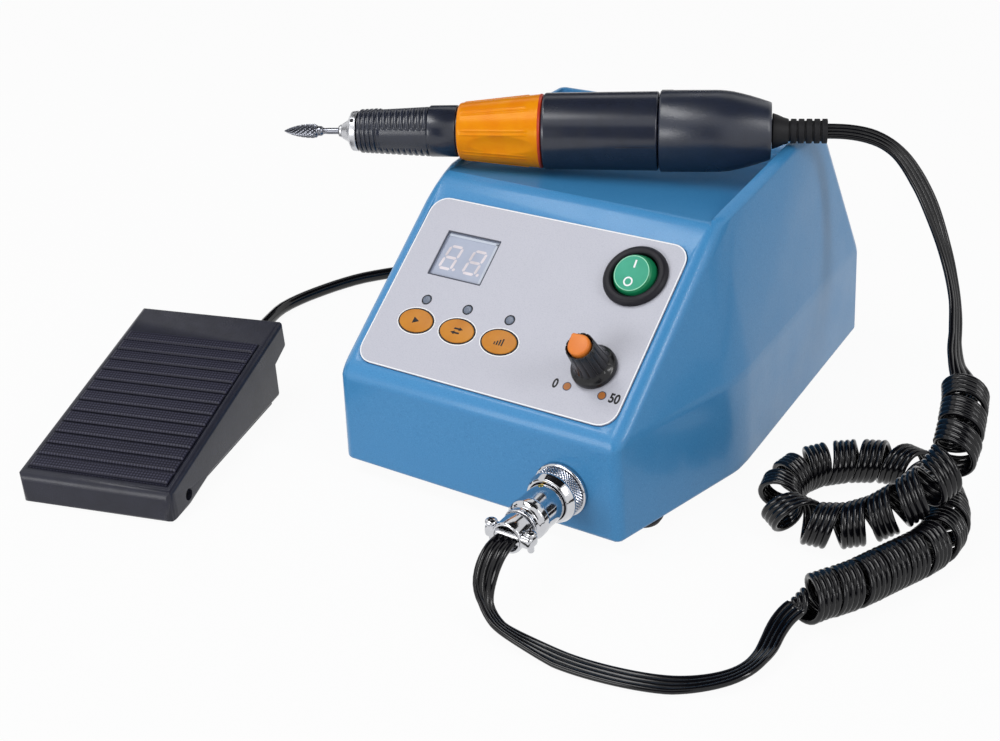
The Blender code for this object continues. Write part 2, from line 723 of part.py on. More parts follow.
def plate_on_panel(name, width, length, low, high, corner, centre, make, finish=None):
    """A flat piece or tool in the panel frame, its faces low and high above the panel."""
    segments = 1 if corner <= GAP else 4
    mesh = box_mesh(name, (width, length, high - low), (0, 0, (low + high) / 2), corner, segments,
                    True)
    place = shift(*centre)
    if make == "cutter":
        return cutter(name, mesh, PANEL, place)
    return node(name, mesh, finish, PANEL, place)


def key_u(index):
    return KEY_FIRST_U + index * KEY_PITCH


def panel_openings():
    """Tools for everything that passes through the sloping panel."""
    depth = -HOUSING_WALL - OVERRUN
    high = OVERRUN
    tools = [plate_on_panel("display_opening", DISPLAY_WIDTH + 2 * GAP, DISPLAY_HEIGHT + 2 * GAP,
                            depth, high, GAP, (DISPLAY_U, DISPLAY_S, 0), "cutter")]
    for index in range(3):
        tag = str(index + 1)
        oval = (1, (KEY_LENGTH + 2 * GAP) / (KEY_WIDTH + 2 * GAP))
        tools.append(cutter("key_opening_" + tag,
                            drum_mesh("key_opening", KEY_WIDTH / 2 + GAP, depth, high, MEDIUM,
                                      stretch=oval),
                            PANEL, shift(key_u(index), KEY_S)))
        tools.append(cutter("lamp_opening_" + tag,
                            drum_mesh("lamp_opening", LAMP_RADIUS + GAP, depth, high, 12),
                            PANEL, shift(key_u(index), LAMP_S)))
    tools.append(cutter("rocker_opening",
                        drum_mesh("rocker_opening", BEZEL_BODY_RADIUS + GAP, depth, high, FINE),
                        PANEL, shift(ROCKER_U, ROCKER_S)))
    tools.append(cutter("shaft_opening",
                        drum_mesh("shaft_opening", POT_BUSH_RADIUS + GAP, depth, high, SMALL),
                        PANEL, shift(KNOB_U, KNOB_S)))
    return tools


def wall_hole(name, radius, x, height, y_low, y_high, steps=MEDIUM):
    """A round tool along Y through the front or the back wall."""
    mesh = drum_mesh(name, radius, -y_high, -y_low, steps)
    return cutter(name, mesh, UNIT, shift(x, 0, height) @ Matrix.Rotation(math.radians(90), 4, "X"))


def housing(openings):
    shell = node("housing_shell", housing_block(), (PAINT, 0.38, 0.0), UNIT)
    rounds = shell.modifiers.new("rounded_edges", "BEVEL")
    rounds.width = EDGE_ROUND * BEND_ROUND_SHARE
    rounds.segments = 3
    rounds.limit_method = "WEIGHT"
    rounds.use_clamp_overlap = True
    boolean(shell, cradle_cutter())
    boolean(shell, housing_hollow())
    recess = plate_on_panel(
        "overlay_recess", 2 * (OVERLAY_HALF + GAP), OVERLAY_HIGH - OVERLAY_LOW + 2 * GAP,
        -OVERLAY_RECESS, OVERRUN, OVERLAY_CORNER, (0, (OVERLAY_LOW + OVERLAY_HIGH) / 2, 0),
        "cutter")
    boolean(shell, recess)
    for tool in openings:
        boolean(shell, tool)
    through = (-OVERRUN, HOUSING_WALL + OVERRUN)
    boolean(shell, wall_hole("motor_socket_hole", SOCKET_BODY_RADIUS + GAP, PLUG_X, PLUG_HEIGHT,
                             *through))
    behind = (REAR_Y - HOUSING_WALL - OVERRUN, REAR_Y + OVERRUN)
    boolean(shell, wall_hole("fuse_hole", FUSE_BODY_RADIUS + GAP, FUSE_X, REAR_SOCKET_HEIGHT,
                             *behind))
    boolean(shell, wall_hole("jack_hole", JACK_BODY_RADIUS + GAP, JACK_X, REAR_SOCKET_HEIGHT,
                             *behind, steps=SMALL))
    inlet_hole = box_mesh("inlet_hole", (INLET_WIDTH + 2 * GAP, behind[1] - behind[0],
                                         INLET_HEIGHT + 2 * GAP))
    boolean(shell, cutter("inlet_hole", inlet_hole, UNIT,
                          shift(INLET_X, sum(behind) / 2, REAR_SOCKET_HEIGHT)))
    for tag, u in (("left", BOARD_LEFT + BOARD_BOSS_INSET), ("right", BOARD_RIGHT - BOARD_BOSS_INSET)):
        for row, s in (("low", BOARD_LOW + BOARD_BOSS_INSET), ("high", BOARD_HIGH - BOARD_BOSS_INSET)):
            boss = drum_mesh("boss", BOARD_BOSS_RADIUS, -BOARD_DEPTH + GAP, -HOUSING_WALL / 2, 12)
            boolean(shell, cutter("board_boss_" + row + "_" + tag, boss, PANEL, shift(u, s)),
                    "UNION")
    return shell


def base_plate():
    """The flat bottom cover, inside the skirt of the housing."""
    inset = HOUSING_WALL + SIDE_DRAFT + GAP
    outline = [(FRONT_HALF - inset, inset - SIDE_DRAFT), (BEND_HALF - inset, BEND_Y),
               (REAR_HALF - inset, REAR_Y - inset + SIDE_DRAFT)]
    corners = [(x, y, z) for x, y in outline for z in (FLOOR_GAP, FLOOR_GAP + PLATE_THICKNESS)]
    return node("base_plate", mesh_from(hull_of(corners), "base_plate"), (BLACK, 0.5, 0.0), UNIT)


def unit_feet():
    places = {
        "front_left": (-FOOT_X_FRONT, FOOT_Y_FRONT), "front_right": (FOOT_X_FRONT, FOOT_Y_FRONT),
        "rear_left": (-FOOT_X_REAR, FOOT_Y_REAR), "rear_right": (FOOT_X_REAR, FOOT_Y_REAR),
    }
    top = FLOOR_GAP - GAP
    edge = FOOT_RADIUS - FLOOR_GAP / 4
    profile = solid_profile([(0, edge), (top / 2, FOOT_RADIUS), (top, FOOT_RADIUS)])
    for tag, (x, y) in places.items():
        turned("unit_foot_" + tag, profile, (RUBBER, 0.8, 0.0), UNIT, shift(x, y), SMALL)


def overlay(openings):
    sheet = plate_on_panel(
        "panel_overlay", 2 * OVERLAY_HALF, OVERLAY_HIGH - OVERLAY_LOW, -OVERLAY_RECESS + GAP,
        -OVERLAY_RECESS + GAP + OVERLAY_THICKNESS, OVERLAY_CORNER,
        (0, (OVERLAY_LOW + OVERLAY_HIGH) / 2, 0), "node", (PALE_GREY, 0.45, 0.0))
    for tool in openings:
        boolean(sheet, tool)


OVERLAY_TOP = -OVERLAY_RECESS + GAP + OVERLAY_THICKNESS


def display():
    high = OVERLAY_TOP - WINDOW_SINK
    low = high - WINDOW_THICKNESS
    plate_on_panel("display_window", DISPLAY_WIDTH, DISPLAY_HEIGHT, low, high, GAP,
                   (DISPLAY_U, DISPLAY_S, 0), "node", (DISPLAY_GREY, 0.12, 0.0))
    board_top = -BOARD_DEPTH
    mesh = box_mesh(
        "control_board", (BOARD_RIGHT - BOARD_LEFT, BOARD_HIGH - BOARD_LOW, BOARD_THICKNESS),
        ((BOARD_LEFT + BOARD_RIGHT) / 2, (BOARD_LOW + BOARD_HIGH) / 2,
         board_top - BOARD_THICKNESS / 2))
    board = node("control_board", mesh, (BOARD_GREEN, 0.5, 0.0), PANEL)
    block_top = low - GAP
    block_low = board_top - BOARD_THICKNESS / 2
    block = box_mesh("digit_block", (DISPLAY_WIDTH, DISPLAY_HEIGHT, block_top - block_low),
                     (DISPLAY_U, DISPLAY_S, (block_top + block_low) / 2))
    boolean(board, cutter("digit_block", block, PANEL), "UNION")
    stem_end = key_stem_end()
    switch_top = stem_end - KEY_TRAVEL - GAP
    for index in range(3):
        height = switch_top - board_top + BOARD_THICKNESS / 2
        mesh = box_mesh("key_switch", (KEY_STEM_RADIUS * 3, KEY_STEM_RADIUS * 3, height),
                        (key_u(index), KEY_S, switch_top - height / 2))
        boolean(board, cutter("key_switch_" + str(index + 1), mesh, PANEL), "UNION")
        height = LAMP_TAIL - GAP - board_top + BOARD_THICKNESS / 2
        mesh = box_mesh("lamp_base", (LAMP_RADIUS * 2, LAMP_RADIUS * 2, height),
                        (key_u(index), LAMP_S, LAMP_TAIL - GAP - height / 2))
        boolean(board, cutter("lamp_base_" + str(index + 1), mesh, PANEL), "UNION")


LAMP_TAIL = -HOUSING_WALL - LAMP_RADIUS


def lamps():
    dome = OVERLAY_TOP + LAMP_PROUD
    profile = solid_profile([(LAMP_TAIL, LAMP_RADIUS), (dome - LAMP_RADIUS / 2, LAMP_RADIUS),
                             (dome, LAMP_RADIUS / 2)])
    for index in range(3):
        turned("indicator_lamp_" + str(index + 1), profile, (LAMP_GREY, 0.25, 0.0), PANEL,
               shift(key_u(index), LAMP_S), 12)


def key_stem_end():
    return -HOUSING_WALL - GAP - KEY_TRAVEL - 2 * KEY_FLANGE_THICKNESS


def keys():
    """Three oval keys, each with a flange behind the wall and a stem to its switch."""
    high = OVERLAY_TOP + KEY_PROUD
    flange_high = -HOUSING_WALL - GAP
    flange_low = flange_high - KEY_FLANGE_THICKNESS
    oval = (1, KEY_LENGTH / KEY_WIDTH)
    for index, name in enumerate(("start_key", "direction_key", "mode_key")):
        place = shift(key_u(index), KEY_S)
        cap = node(name, drum_mesh(name, KEY_WIDTH / 2, flange_low, high, MEDIUM, stretch=oval),
                   (OCHRE, 0.4, 0.0), PANEL, place)
        flange = drum_mesh("flange", KEY_WIDTH / 2 + KEY_FLANGE, flange_low - GAP, flange_high,
                           MEDIUM, stretch=oval)
        boolean(cap, cutter(name + "_flange", flange, PANEL, place), "UNION")
        stem = drum_mesh("stem", KEY_STEM_RADIUS, key_stem_end(), flange_low, 12)
        boolean(cap, cutter(name + "_stem", stem, PANEL, place), "UNION")


def rocker_switch():
    place = shift(ROCKER_U, ROCKER_S)
    seat = OVERLAY_TOP + GAP
    outside = [(-BEZEL_DEPTH, BEZEL_BODY_RADIUS), (seat, BEZEL_BODY_RADIUS), (seat, BEZEL_RADIUS),
               (seat + BEZEL_PROUD / 2, BEZEL_RADIUS),
               (seat + BEZEL_PROUD, BEZEL_RADIUS - BEZEL_PROUD / 2)]
    inside_up = [(-BEZEL_DEPTH + BEZEL_FLOOR, ROCKER_BORE),
                 (seat + BEZEL_PROUD - GAP, ROCKER_BORE),
                 (seat + BEZEL_PROUD, ROCKER_BORE + GAP)]
    profile = ([(-BEZEL_DEPTH + BEZEL_FLOOR, 0)] + inside_up + list(reversed(outside))
               + [(-BEZEL_DEPTH, 0)])
    turned("rocker_bezel", profile, (BLACK, 0.35, 0.0), PANEL, place, FINE)
    tilt = place @ Matrix.Rotation(ROCKER_TILT, 4, "X")
    cap = solid_profile([
        (-ROCKER_SKIRT, ROCKER_RADIUS), (0, ROCKER_RADIUS),
        (ROCKER_PROUD - (ROCKER_RADIUS - ROCKER_FACE_RADIUS) / 2, ROCKER_FACE_RADIUS + GAP),
        (ROCKER_PROUD, ROCKER_FACE_RADIUS - GAP)])
    turned("rocker_button", cap, (GREEN, 0.2, 0.0), PANEL, tilt, FINE)


def speed_control():
    place = shift(KNOB_U, KNOB_S) @ Matrix.Rotation(POINTER_ANGLE, 4, "Z")
    seat = OVERLAY_TOP + RUNNING_GAP
    bore_top = SHAFT_FREE_END + GAP
    pocket = [(KNOB_HEIGHT - KNOB_CAP_SINK, 0), (KNOB_HEIGHT - KNOB_CAP_SINK, KNOB_CAP_RADIUS + GAP),
              (KNOB_HEIGHT, KNOB_CAP_RADIUS + GAP)]
    outside = [(KNOB_HEIGHT, KNOB_TOP_RADIUS), (seat + KNOB_SKIRT_HEIGHT, KNOB_LOW_RADIUS),
               (seat + KNOB_SKIRT_HEIGHT / 2, KNOB_SKIRT_RADIUS), (seat, KNOB_SKIRT_RADIUS)]
    bore = [(seat, SHAFT_RADIUS + GAP), (bore_top, SHAFT_RADIUS + GAP), (bore_top, 0)]
    knob = turned("speed_knob", pocket + outside + bore, (BLACK, 0.4, 0.0), PANEL, place,
                  2 * KNOB_FLUTES)
    lean = math.atan2(KNOB_LOW_RADIUS - KNOB_TOP_RADIUS, KNOB_HEIGHT - KNOB_SKIRT_HEIGHT)
    for index in range(KNOB_FLUTES):
        spin = Matrix.Rotation(2 * math.pi * (index + 0.5) / KNOB_FLUTES, 4, "Z")
        flute = drum_mesh("flute", KNOB_FLUTE_RADIUS, 0, KNOB_HEIGHT, 6)
        lie = shift(KNOB_LOW_RADIUS + KNOB_FLUTE_RADIUS / 3, 0, seat + KNOB_SKIRT_HEIGHT)
        boolean(knob, cutter("knob_flute_" + str(index + 1), flute, PANEL,
                             place @ spin @ lie @ Matrix.Rotation(-lean, 4, "Y")))
    pointer = box_mesh("pointer_slot", (KNOB_SKIRT_RADIUS, POINTER_WIDTH + 2 * GAP,
                                        2 * KNOB_CAP_SINK),
                       (KNOB_SKIRT_RADIUS / 2, 0, KNOB_HEIGHT))
    boolean(knob, cutter("pointer_slot", pointer, PANEL, place))
    cap_low = KNOB_HEIGHT - KNOB_CAP_SINK + GAP
    cap_high = KNOB_HEIGHT + KNOB_CAP_PROUD
    cap = turned("knob_cap", solid_profile([(cap_low, KNOB_CAP_RADIUS),
                                            (cap_high - KNOB_CAP_PROUD / 2, KNOB_CAP_RADIUS),
                                            (cap_high, KNOB_CAP_RADIUS - KNOB_CAP_PROUD)]),
                 (ORANGE, 0.35, 0.0), PANEL, place, MEDIUM)
    tip = box_mesh("pointer", (KNOB_TOP_RADIUS + GAP, POINTER_WIDTH, cap_high - cap_low - KNOB_CAP_PROUD),
                   ((KNOB_TOP_RADIUS + GAP) / 2, 0, (cap_high + cap_low - KNOB_CAP_PROUD) / 2))
    boolean(cap, cutter("knob_pointer", tip, PANEL, place), "UNION")
    shaft_low = -POT_DEPTH + BEZEL_FLOOR + GAP
    turned("knob_shaft", solid_profile([(shaft_low, SHAFT_RADIUS), (SHAFT_FREE_END, SHAFT_RADIUS)]),
           (STEEL, 0.3, 1.0), PANEL, place, SMALL)
    bush = SHAFT_RADIUS + GAP
    body_high = -HOUSING_WALL - GAP
    bush_high = -OVERLAY_RECESS
    outside = [(-POT_DEPTH, POT_RADIUS), (body_high, POT_RADIUS), (body_high, POT_BUSH_RADIUS),
               (bush_high, POT_BUSH_RADIUS)]
    profile = ([(-POT_DEPTH + BEZEL_FLOOR, 0), (-POT_DEPTH + BEZEL_FLOOR, bush), (bush_high, bush)]
               + list(reversed(outside)) + [(-POT_DEPTH, 0)])
    turned("potentiometer", profile, (STEEL, 0.45, 1.0), PANEL, shift(KNOB_U, KNOB_S), MEDIUM)


def motor_connector():
    """Screwed round connector. Along its frame, z points out of the front face."""
    face = GAP
    outside = [(-SOCKET_DEPTH, SOCKET_BODY_RADIUS), (face, SOCKET_BODY_RADIUS),
               (face, SOCKET_FLANGE_RADIUS), (face + SOCKET_FLANGE, SOCKET_FLANGE_RADIUS),
               (face + SOCKET_FLANGE, SOCKET_NECK_RADIUS),
               (face + SOCKET_FLANGE + SOCKET_NECK, SOCKET_NECK_RADIUS)]
    turned("motor_socket", solid_profile(outside), (CHROME, 0.2, 1.0), FRONT, None, MEDIUM)
    nut_high = -HOUSING_WALL - GAP
    nut = drum_mesh("socket_nut", SOCKET_NUT_RADIUS, nut_high - SOCKET_NUT, nut_high, 6)
    piece = node("socket_nut", nut, (CHROME, 0.3, 1.0), FRONT)
    boolean(piece, cutter("socket_nut_bore",
                          drum_mesh("bore", SOCKET_BODY_RADIUS + GAP, nut_high - SOCKET_NUT - OVERRUN,
                                    nut_high + OVERRUN, MEDIUM), FRONT))
    ring_low = face + SOCKET_FLANGE + GAP
    ring_high = ring_low + RING_LENGTH + RING_LIP
    barrel_low = face + SOCKET_FLANGE + SOCKET_NECK + GAP
    outside = [(ring_low, RING_RADIUS), (ring_high - RING_CHAMFER, RING_RADIUS),
               (ring_high, RING_RADIUS - RING_CHAMFER + GAP)]
    inside = [(ring_low, BARREL_RADIUS + RUNNING_GAP), (ring_high, BARREL_RADIUS + RUNNING_GAP)]
    turned("coupling_ring", tube_profile(outside, inside), (CHROME, 0.25, 1.0), FRONT, None, FINE,
           bore=True)
    barrel_high = barrel_low + BARREL_LENGTH
    outside = [(barrel_low, BARREL_RADIUS), (barrel_high, BARREL_RADIUS),
               (barrel_high, BARREL_STEP_RADIUS), (barrel_high + BARREL_STEP, BARREL_STEP_RADIUS)]
    turned("plug_barrel", solid_profile(outside), (CHROME, 0.12, 1.0), FRONT, None, MEDIUM)
    clamp_low = barrel_high + BARREL_STEP + GAP
    clamp_high = clamp_low + CLAMP_LENGTH
    outside = [(clamp_low, CLAMP_RADIUS), (clamp_high, CLAMP_RADIUS)]
    inside = [(clamp_low, CLAMP_BORE), (clamp_high, CLAMP_BORE)]
    clamp = turned("cable_clamp", tube_profile(outside, inside), (CHROME, 0.2, 1.0), FRONT, None,
                   SMALL, bore=True)
    ears = box_mesh("clamp_ears", (2 * CLAMP_EAR_HALF, CLAMP_EAR_THICKNESS, CLAMP_LENGTH * 0.7),
                    (0, 0, clamp_high - CLAMP_LENGTH * 0.35), CLAMP_EAR_THICKNESS * 0.4, 2)
    saddle = cutter("clamp_ears", ears, FRONT)
    boolean(saddle, cutter("clamp_ear_bore",
                           drum_mesh("bore", CLAMP_BORE + GAP, clamp_low - OVERRUN,
                                     clamp_high + OVERRUN, SMALL), FRONT))
    boolean(clamp, saddle, "UNION")
    return clamp_high


def rear_place(x):
    """A frame on the back wall whose z points out of the back."""
    return shift(x, REAR_Y, REAR_SOCKET_HEIGHT) @ Matrix.Rotation(math.radians(-90), 4, "X")


def rear_sockets():
    body_high = GAP + INLET_FLANGE / 2
    body = box_mesh("mains_inlet", (INLET_WIDTH, INLET_HEIGHT, INLET_BODY_DEPTH + body_high),
                    (0, 0, (body_high - INLET_BODY_DEPTH) / 2))
    inlet = node("mains_inlet", body, (BLACK, 0.4, 0.0), UNIT, rear_place(INLET_X))
    flange = box_mesh("inlet_flange", (INLET_WIDTH + 2 * INLET_RIM, INLET_HEIGHT + 2 * INLET_RIM,
                                       INLET_FLANGE), (0, 0, GAP + INLET_FLANGE / 2), GAP)
    boolean(inlet, cutter("inlet_flange", flange, UNIT, rear_place(INLET_X)), "UNION")
    cavity = box_mesh("inlet_cavity", (INLET_CAVITY_WIDTH, INLET_CAVITY_HEIGHT,
                                       INLET_CAVITY_DEPTH + OVERRUN),
                      (0, 0, (OVERRUN - INLET_CAVITY_DEPTH) / 2 + INLET_FLANGE),
                      INLET_RIM, 2, True)
    tool = cutter("inlet_cavity", cavity, UNIT, rear_place(INLET_X))
    floor = INLET_FLANGE - INLET_CAVITY_DEPTH
    for tag, x, rise in (("live", -INLET_PIN_PITCH, 0), ("earth", 0, -INLET_EARTH_RISE),
                         ("neutral", INLET_PIN_PITCH, 0)):
        pin = box_mesh("pin", (INLET_PIN_WIDTH, INLET_PIN_HEIGHT, INLET_PIN_LENGTH + OVERRUN),
                       (x, rise, floor + (INLET_PIN_LENGTH - OVERRUN) / 2))
        boolean(tool, cutter("inlet_pin_" + tag, pin, UNIT, rear_place(INLET_X)))
    boolean(inlet, tool)
    outside = [(-FUSE_BODY, FUSE_BODY_RADIUS), (GAP, FUSE_BODY_RADIUS), (GAP, FUSE_RADIUS),
               (FUSE_CAP - GAP, FUSE_RADIUS), (FUSE_CAP, FUSE_RADIUS - GAP)]
    fuse = turned("fuse_holder", solid_profile(outside), (BLACK, 0.4, 0.0), UNIT,
                  rear_place(FUSE_X), MEDIUM)
    slot = box_mesh("fuse_slot", (FUSE_RADIUS, INLET_PIN_WIDTH / 2, INLET_PIN_WIDTH),
                    (0, 0, FUSE_CAP))
    boolean(fuse, cutter("fuse_slot", slot, UNIT, rear_place(FUSE_X)))
    outside = [(-JACK_BODY, JACK_BODY_RADIUS), (GAP, JACK_BODY_RADIUS), (GAP, JACK_RADIUS),
               (JACK_NUT, JACK_RADIUS)]
    inside = [(-PEDAL_PLUG_PIN - GAP, 0), (-PEDAL_PLUG_PIN - GAP, JACK_BORE), (JACK_NUT, JACK_BORE)]
    turned("pedal_jack", inside + list(reversed(outside)) + [(-JACK_BODY, 0)],
           (CHROME, 0.3, 1.0), UNIT, rear_place(JACK_X), SMALL)
    barrel_low = JACK_NUT + GAP
    barrel_high = barrel_low + PEDAL_PLUG_LENGTH
    tail_high = barrel_high + PEDAL_PLUG_TAIL
    outside = [(-PEDAL_PLUG_PIN, PEDAL_PLUG_PIN_RADIUS / 2),
               (-PEDAL_PLUG_PIN + PEDAL_PLUG_PIN_RADIUS, PEDAL_PLUG_PIN_RADIUS),
               (barrel_low, PEDAL_PLUG_PIN_RADIUS), (barrel_low, PEDAL_PLUG_RADIUS),
               (barrel_high, PEDAL_PLUG_RADIUS), (barrel_high, PEDAL_PLUG_TAIL_RADIUS + GAP),
               (tail_high, PEDAL_PLUG_TAIL_RADIUS)]
    turned("pedal_plug", solid_profile(outside), (BLACK, 0.5, 0.0), UNIT, rear_place(JACK_X), SMALL)
    return REAR_Y + tail_high


def power_supply():
    floor = FLOOR_GAP + PLATE_THICKNESS + GAP
    middle = floor + CORE_HEIGHT / 2
    place = shift(TRANSFORMER_X, TRANSFORMER_Y, middle)
    core = node("transformer_core", box_mesh("transformer_core", (CORE_WIDTH, CORE_STACK, CORE_HEIGHT)),
                (STEEL, 0.5, 1.0), UNIT, place)
    window_width = (CORE_WIDTH - 4 * CORE_LIMB) / 2
    window_height = CORE_HEIGHT - 2 * CORE_LIMB
    window_x = CORE_LIMB + window_width / 2
    for tag, side in (("left", -1), ("right", 1)):
        window = box_mesh("core_window", (window_width, CORE_STACK + OVERRUN, window_height),
                          (side * window_x, 0, 0))
        boolean(core, cutter("core_window_" + tag, window, UNIT, place))
    coil_width = 2 * (CORE_LIMB + window_width - GAP)
    winding = node("transformer_winding",
                   box_mesh("transformer_winding", (coil_width, WINDING_LENGTH,
                                                    window_height - 2 * GAP), (0, 0, 0),
                            CORE_LIMB / 4, 2, True),
                   (COPPER, 0.5, 0.3), UNIT, place)
    limb = box_mesh("core_limb", (2 * (CORE_LIMB + GAP), CORE_STACK + 2 * GAP, CORE_HEIGHT))
    boolean(winding, cutter("core_limb", limb, UNIT, place))
    top = floor + STANDOFF_HEIGHT
    centre = (POWER_BOARD_X, POWER_BOARD_Y)
    sheet = box_mesh("power_board", (POWER_BOARD_WIDTH, POWER_BOARD_LENGTH, BOARD_THICKNESS))
    board = node("power_board", sheet, (BOARD_GREEN, 0.5, 0.0), UNIT,
                 shift(*centre, top + BOARD_THICKNESS / 2))
    for side in (-1, 1):
        for end in (-1, 1):
            tag = str(1 + (side + 1) + (end + 1) // 2)
            post = drum_mesh("standoff", STANDOFF_RADIUS, floor, top + BOARD_THICKNESS / 2, 8)
            at = shift(POWER_BOARD_X + side * (POWER_BOARD_WIDTH / 2 - STANDOFF_RADIUS - GAP),
                       POWER_BOARD_Y + end * (POWER_BOARD_LENGTH / 2 - STANDOFF_RADIUS - GAP))
            boolean(board, cutter("standoff_" + tag, post, UNIT, at), "UNION")
    can = drum_mesh("capacitor", CAPACITOR_RADIUS, top + BOARD_THICKNESS / 2,
                    top + BOARD_THICKNESS + CAPACITOR_HEIGHT, SMALL)
    boolean(board, cutter("smoothing_capacitor", can, UNIT,
                          shift(POWER_BOARD_X, POWER_BOARD_Y + CAPACITOR_BACK)), "UNION")


def ribs(start, end, count, crest, root):
    """Profile points of ring ribs between two heights; crest and root give radius by height."""
    pitch = (end - start) / count
    points = []
    for index in range(count):
        low = start + index * pitch
        points.append((low, root(low)))
        points.append((low + pitch * 0.6, crest(low)))
    return points


def sleeve_radius(height):
    """Outer radius of the tapered front sleeve."""
    share = (height - NOSE_LENGTH) / (SLEEVE_END - NOSE_LENGTH)
    return SLEEVE_FRONT_RADIUS + share * (SLEEVE_REAR_RADIUS - SLEEVE_FRONT_RADIUS)


def handpiece_shell():
    """Front sleeve, lock ring, motor case, rear cap and strain relief."""
    start = NOSE_LENGTH + GAP
    fine_end = start + FINE_RIB_LENGTH
    collar_end = CASE_START + CASE_FRONT_WALL - GAP
    outside = ribs(start, fine_end, FINE_RIBS, sleeve_radius,
                   lambda height: sleeve_radius(height) - SLEEVE_RIB)
    outside += ribs(fine_end, GRIP_RIB_END, GRIP_RIBS, sleeve_radius,
                    lambda height: sleeve_radius(height) - SLEEVE_RIB)
    outside += [(GRIP_RIB_END, sleeve_radius(GRIP_RIB_END)), (SLEEVE_END, SLEEVE_REAR_RADIUS),
                (SLEEVE_END, COLLAR_RADIUS), (collar_end, COLLAR_RADIUS)]
    inside = [(start, SLEEVE_BORE), (collar_end, SLEEVE_BORE)]
    turned("front_sleeve", tube_profile(outside, inside), (BLACK, 0.4, 0.0), HAND, None, MEDIUM,
           bore=True)

    edge = (LOCK_REAR_RADIUS - LOCK_FRONT_RADIUS) / 4
    outside = [(LOCK_START, LOCK_FRONT_RADIUS - edge), (LOCK_START + edge, LOCK_FRONT_RADIUS),
               (LOCK_END - edge, LOCK_REAR_RADIUS), (LOCK_END, LOCK_REAR_RADIUS - edge / 2)]
    inside = [(LOCK_START, LOCK_BORE), (LOCK_END, LOCK_BORE)]
    ring = turned("lock_ring", tube_profile(outside, inside), (AMBER, 0.3, 0.0), HAND, None, FINE,
                  bore=True)
    middle = (LOCK_START + LOCK_END) / 2
    rim = LOCK_FRONT_RADIUS + (LOCK_REAR_RADIUS - LOCK_FRONT_RADIUS) * 0.5
    for index in range(LOCK_SCOOPS):
        scoop = bmesh.new()
        bmesh.ops.create_uvsphere(scoop, u_segments=12, v_segments=6, radius=1.0)
        bmesh.ops.scale(scoop, vec=Vector((SCOOP_DEPTH, SCOOP_WIDTH / 2, SCOOP_LENGTH / 2)),
                        verts=scoop.verts[:])
        spin = Matrix.Rotation(2 * math.pi * index / LOCK_SCOOPS + math.pi / 2, 4, "Z")
        lean = math.atan2(LOCK_REAR_RADIUS - LOCK_FRONT_RADIUS, LOCK_END - LOCK_START)
        lie = spin @ shift(rim, 0, middle) @ Matrix.Rotation(lean, 4, "Y")
        boolean(ring, cutter("lock_ring_scoop_" + str(index + 1),
                             mesh_from(scoop, "scoop"), HAND, lie))

    front = CASE_START + CASE_FRONT_WALL
    outside = [(CASE_START, CASE_FRONT_RADIUS - edge), (CASE_START + edge, CASE_FRONT_RADIUS),
               (CASE_END - edge / 2, CASE_REAR_RADIUS), (CASE_END, CASE_REAR_RADIUS - edge / 2)]
    inside = [(CASE_START, COLLAR_RADIUS + GAP), (front, COLLAR_RADIUS + GAP), (front, CASE_BORE),
              (CASE_END, CASE_BORE)]
    turned("motor_case", tube_profile(outside, inside), (BLACK, 0.45, 0.0), HAND, None, FINE,
           bore=True)

    taper = CAP_END - CAP_STRAIGHT_END
    outside = [(CAP_START, CAP_RADIUS - edge / 2), (CAP_START + edge, CAP_RADIUS)]
    outside += [(CAP_STRAIGHT_END + share * taper, CAP_RADIUS * size) for share, size in CAP_SHARES]
    back_wall = CAP_END - CAP_WALL
    inside = [(CAP_START, CAP_RADIUS - CAP_WALL), (CAP_STRAIGHT_END, CAP_RADIUS - CAP_WALL),
              (back_wall, CAP_END_RADIUS - CAP_WALL), (back_wall, RELIEF_ROOT_RADIUS + GAP),
              (CAP_END, RELIEF_ROOT_RADIUS + GAP)]
    turned("rear_cap", tube_profile(outside, inside), (BLACK, 0.45, 0.0), HAND, None, FINE,
           bore=True)

    seat = CAP_END + GAP
    cone_end = seat + RELIEF_CONE
    outside = [(seat - RELIEF_ROOT, RELIEF_ROOT_RADIUS), (seat, RELIEF_ROOT_RADIUS),
               (seat, RELIEF_FLANGE_RADIUS)]
    outside += ribs(cone_end, RELIEF_END, RELIEF_RIBS, lambda _: RELIEF_RADIUS,
                    lambda _: RELIEF_RADIUS - RELIEF_GROOVE)
    outside += [(RELIEF_END, RELIEF_RADIUS)]
    turned("strain_relief", solid_profile(outside), (RUBBER, 0.6, 0.0), HAND, None, SMALL)


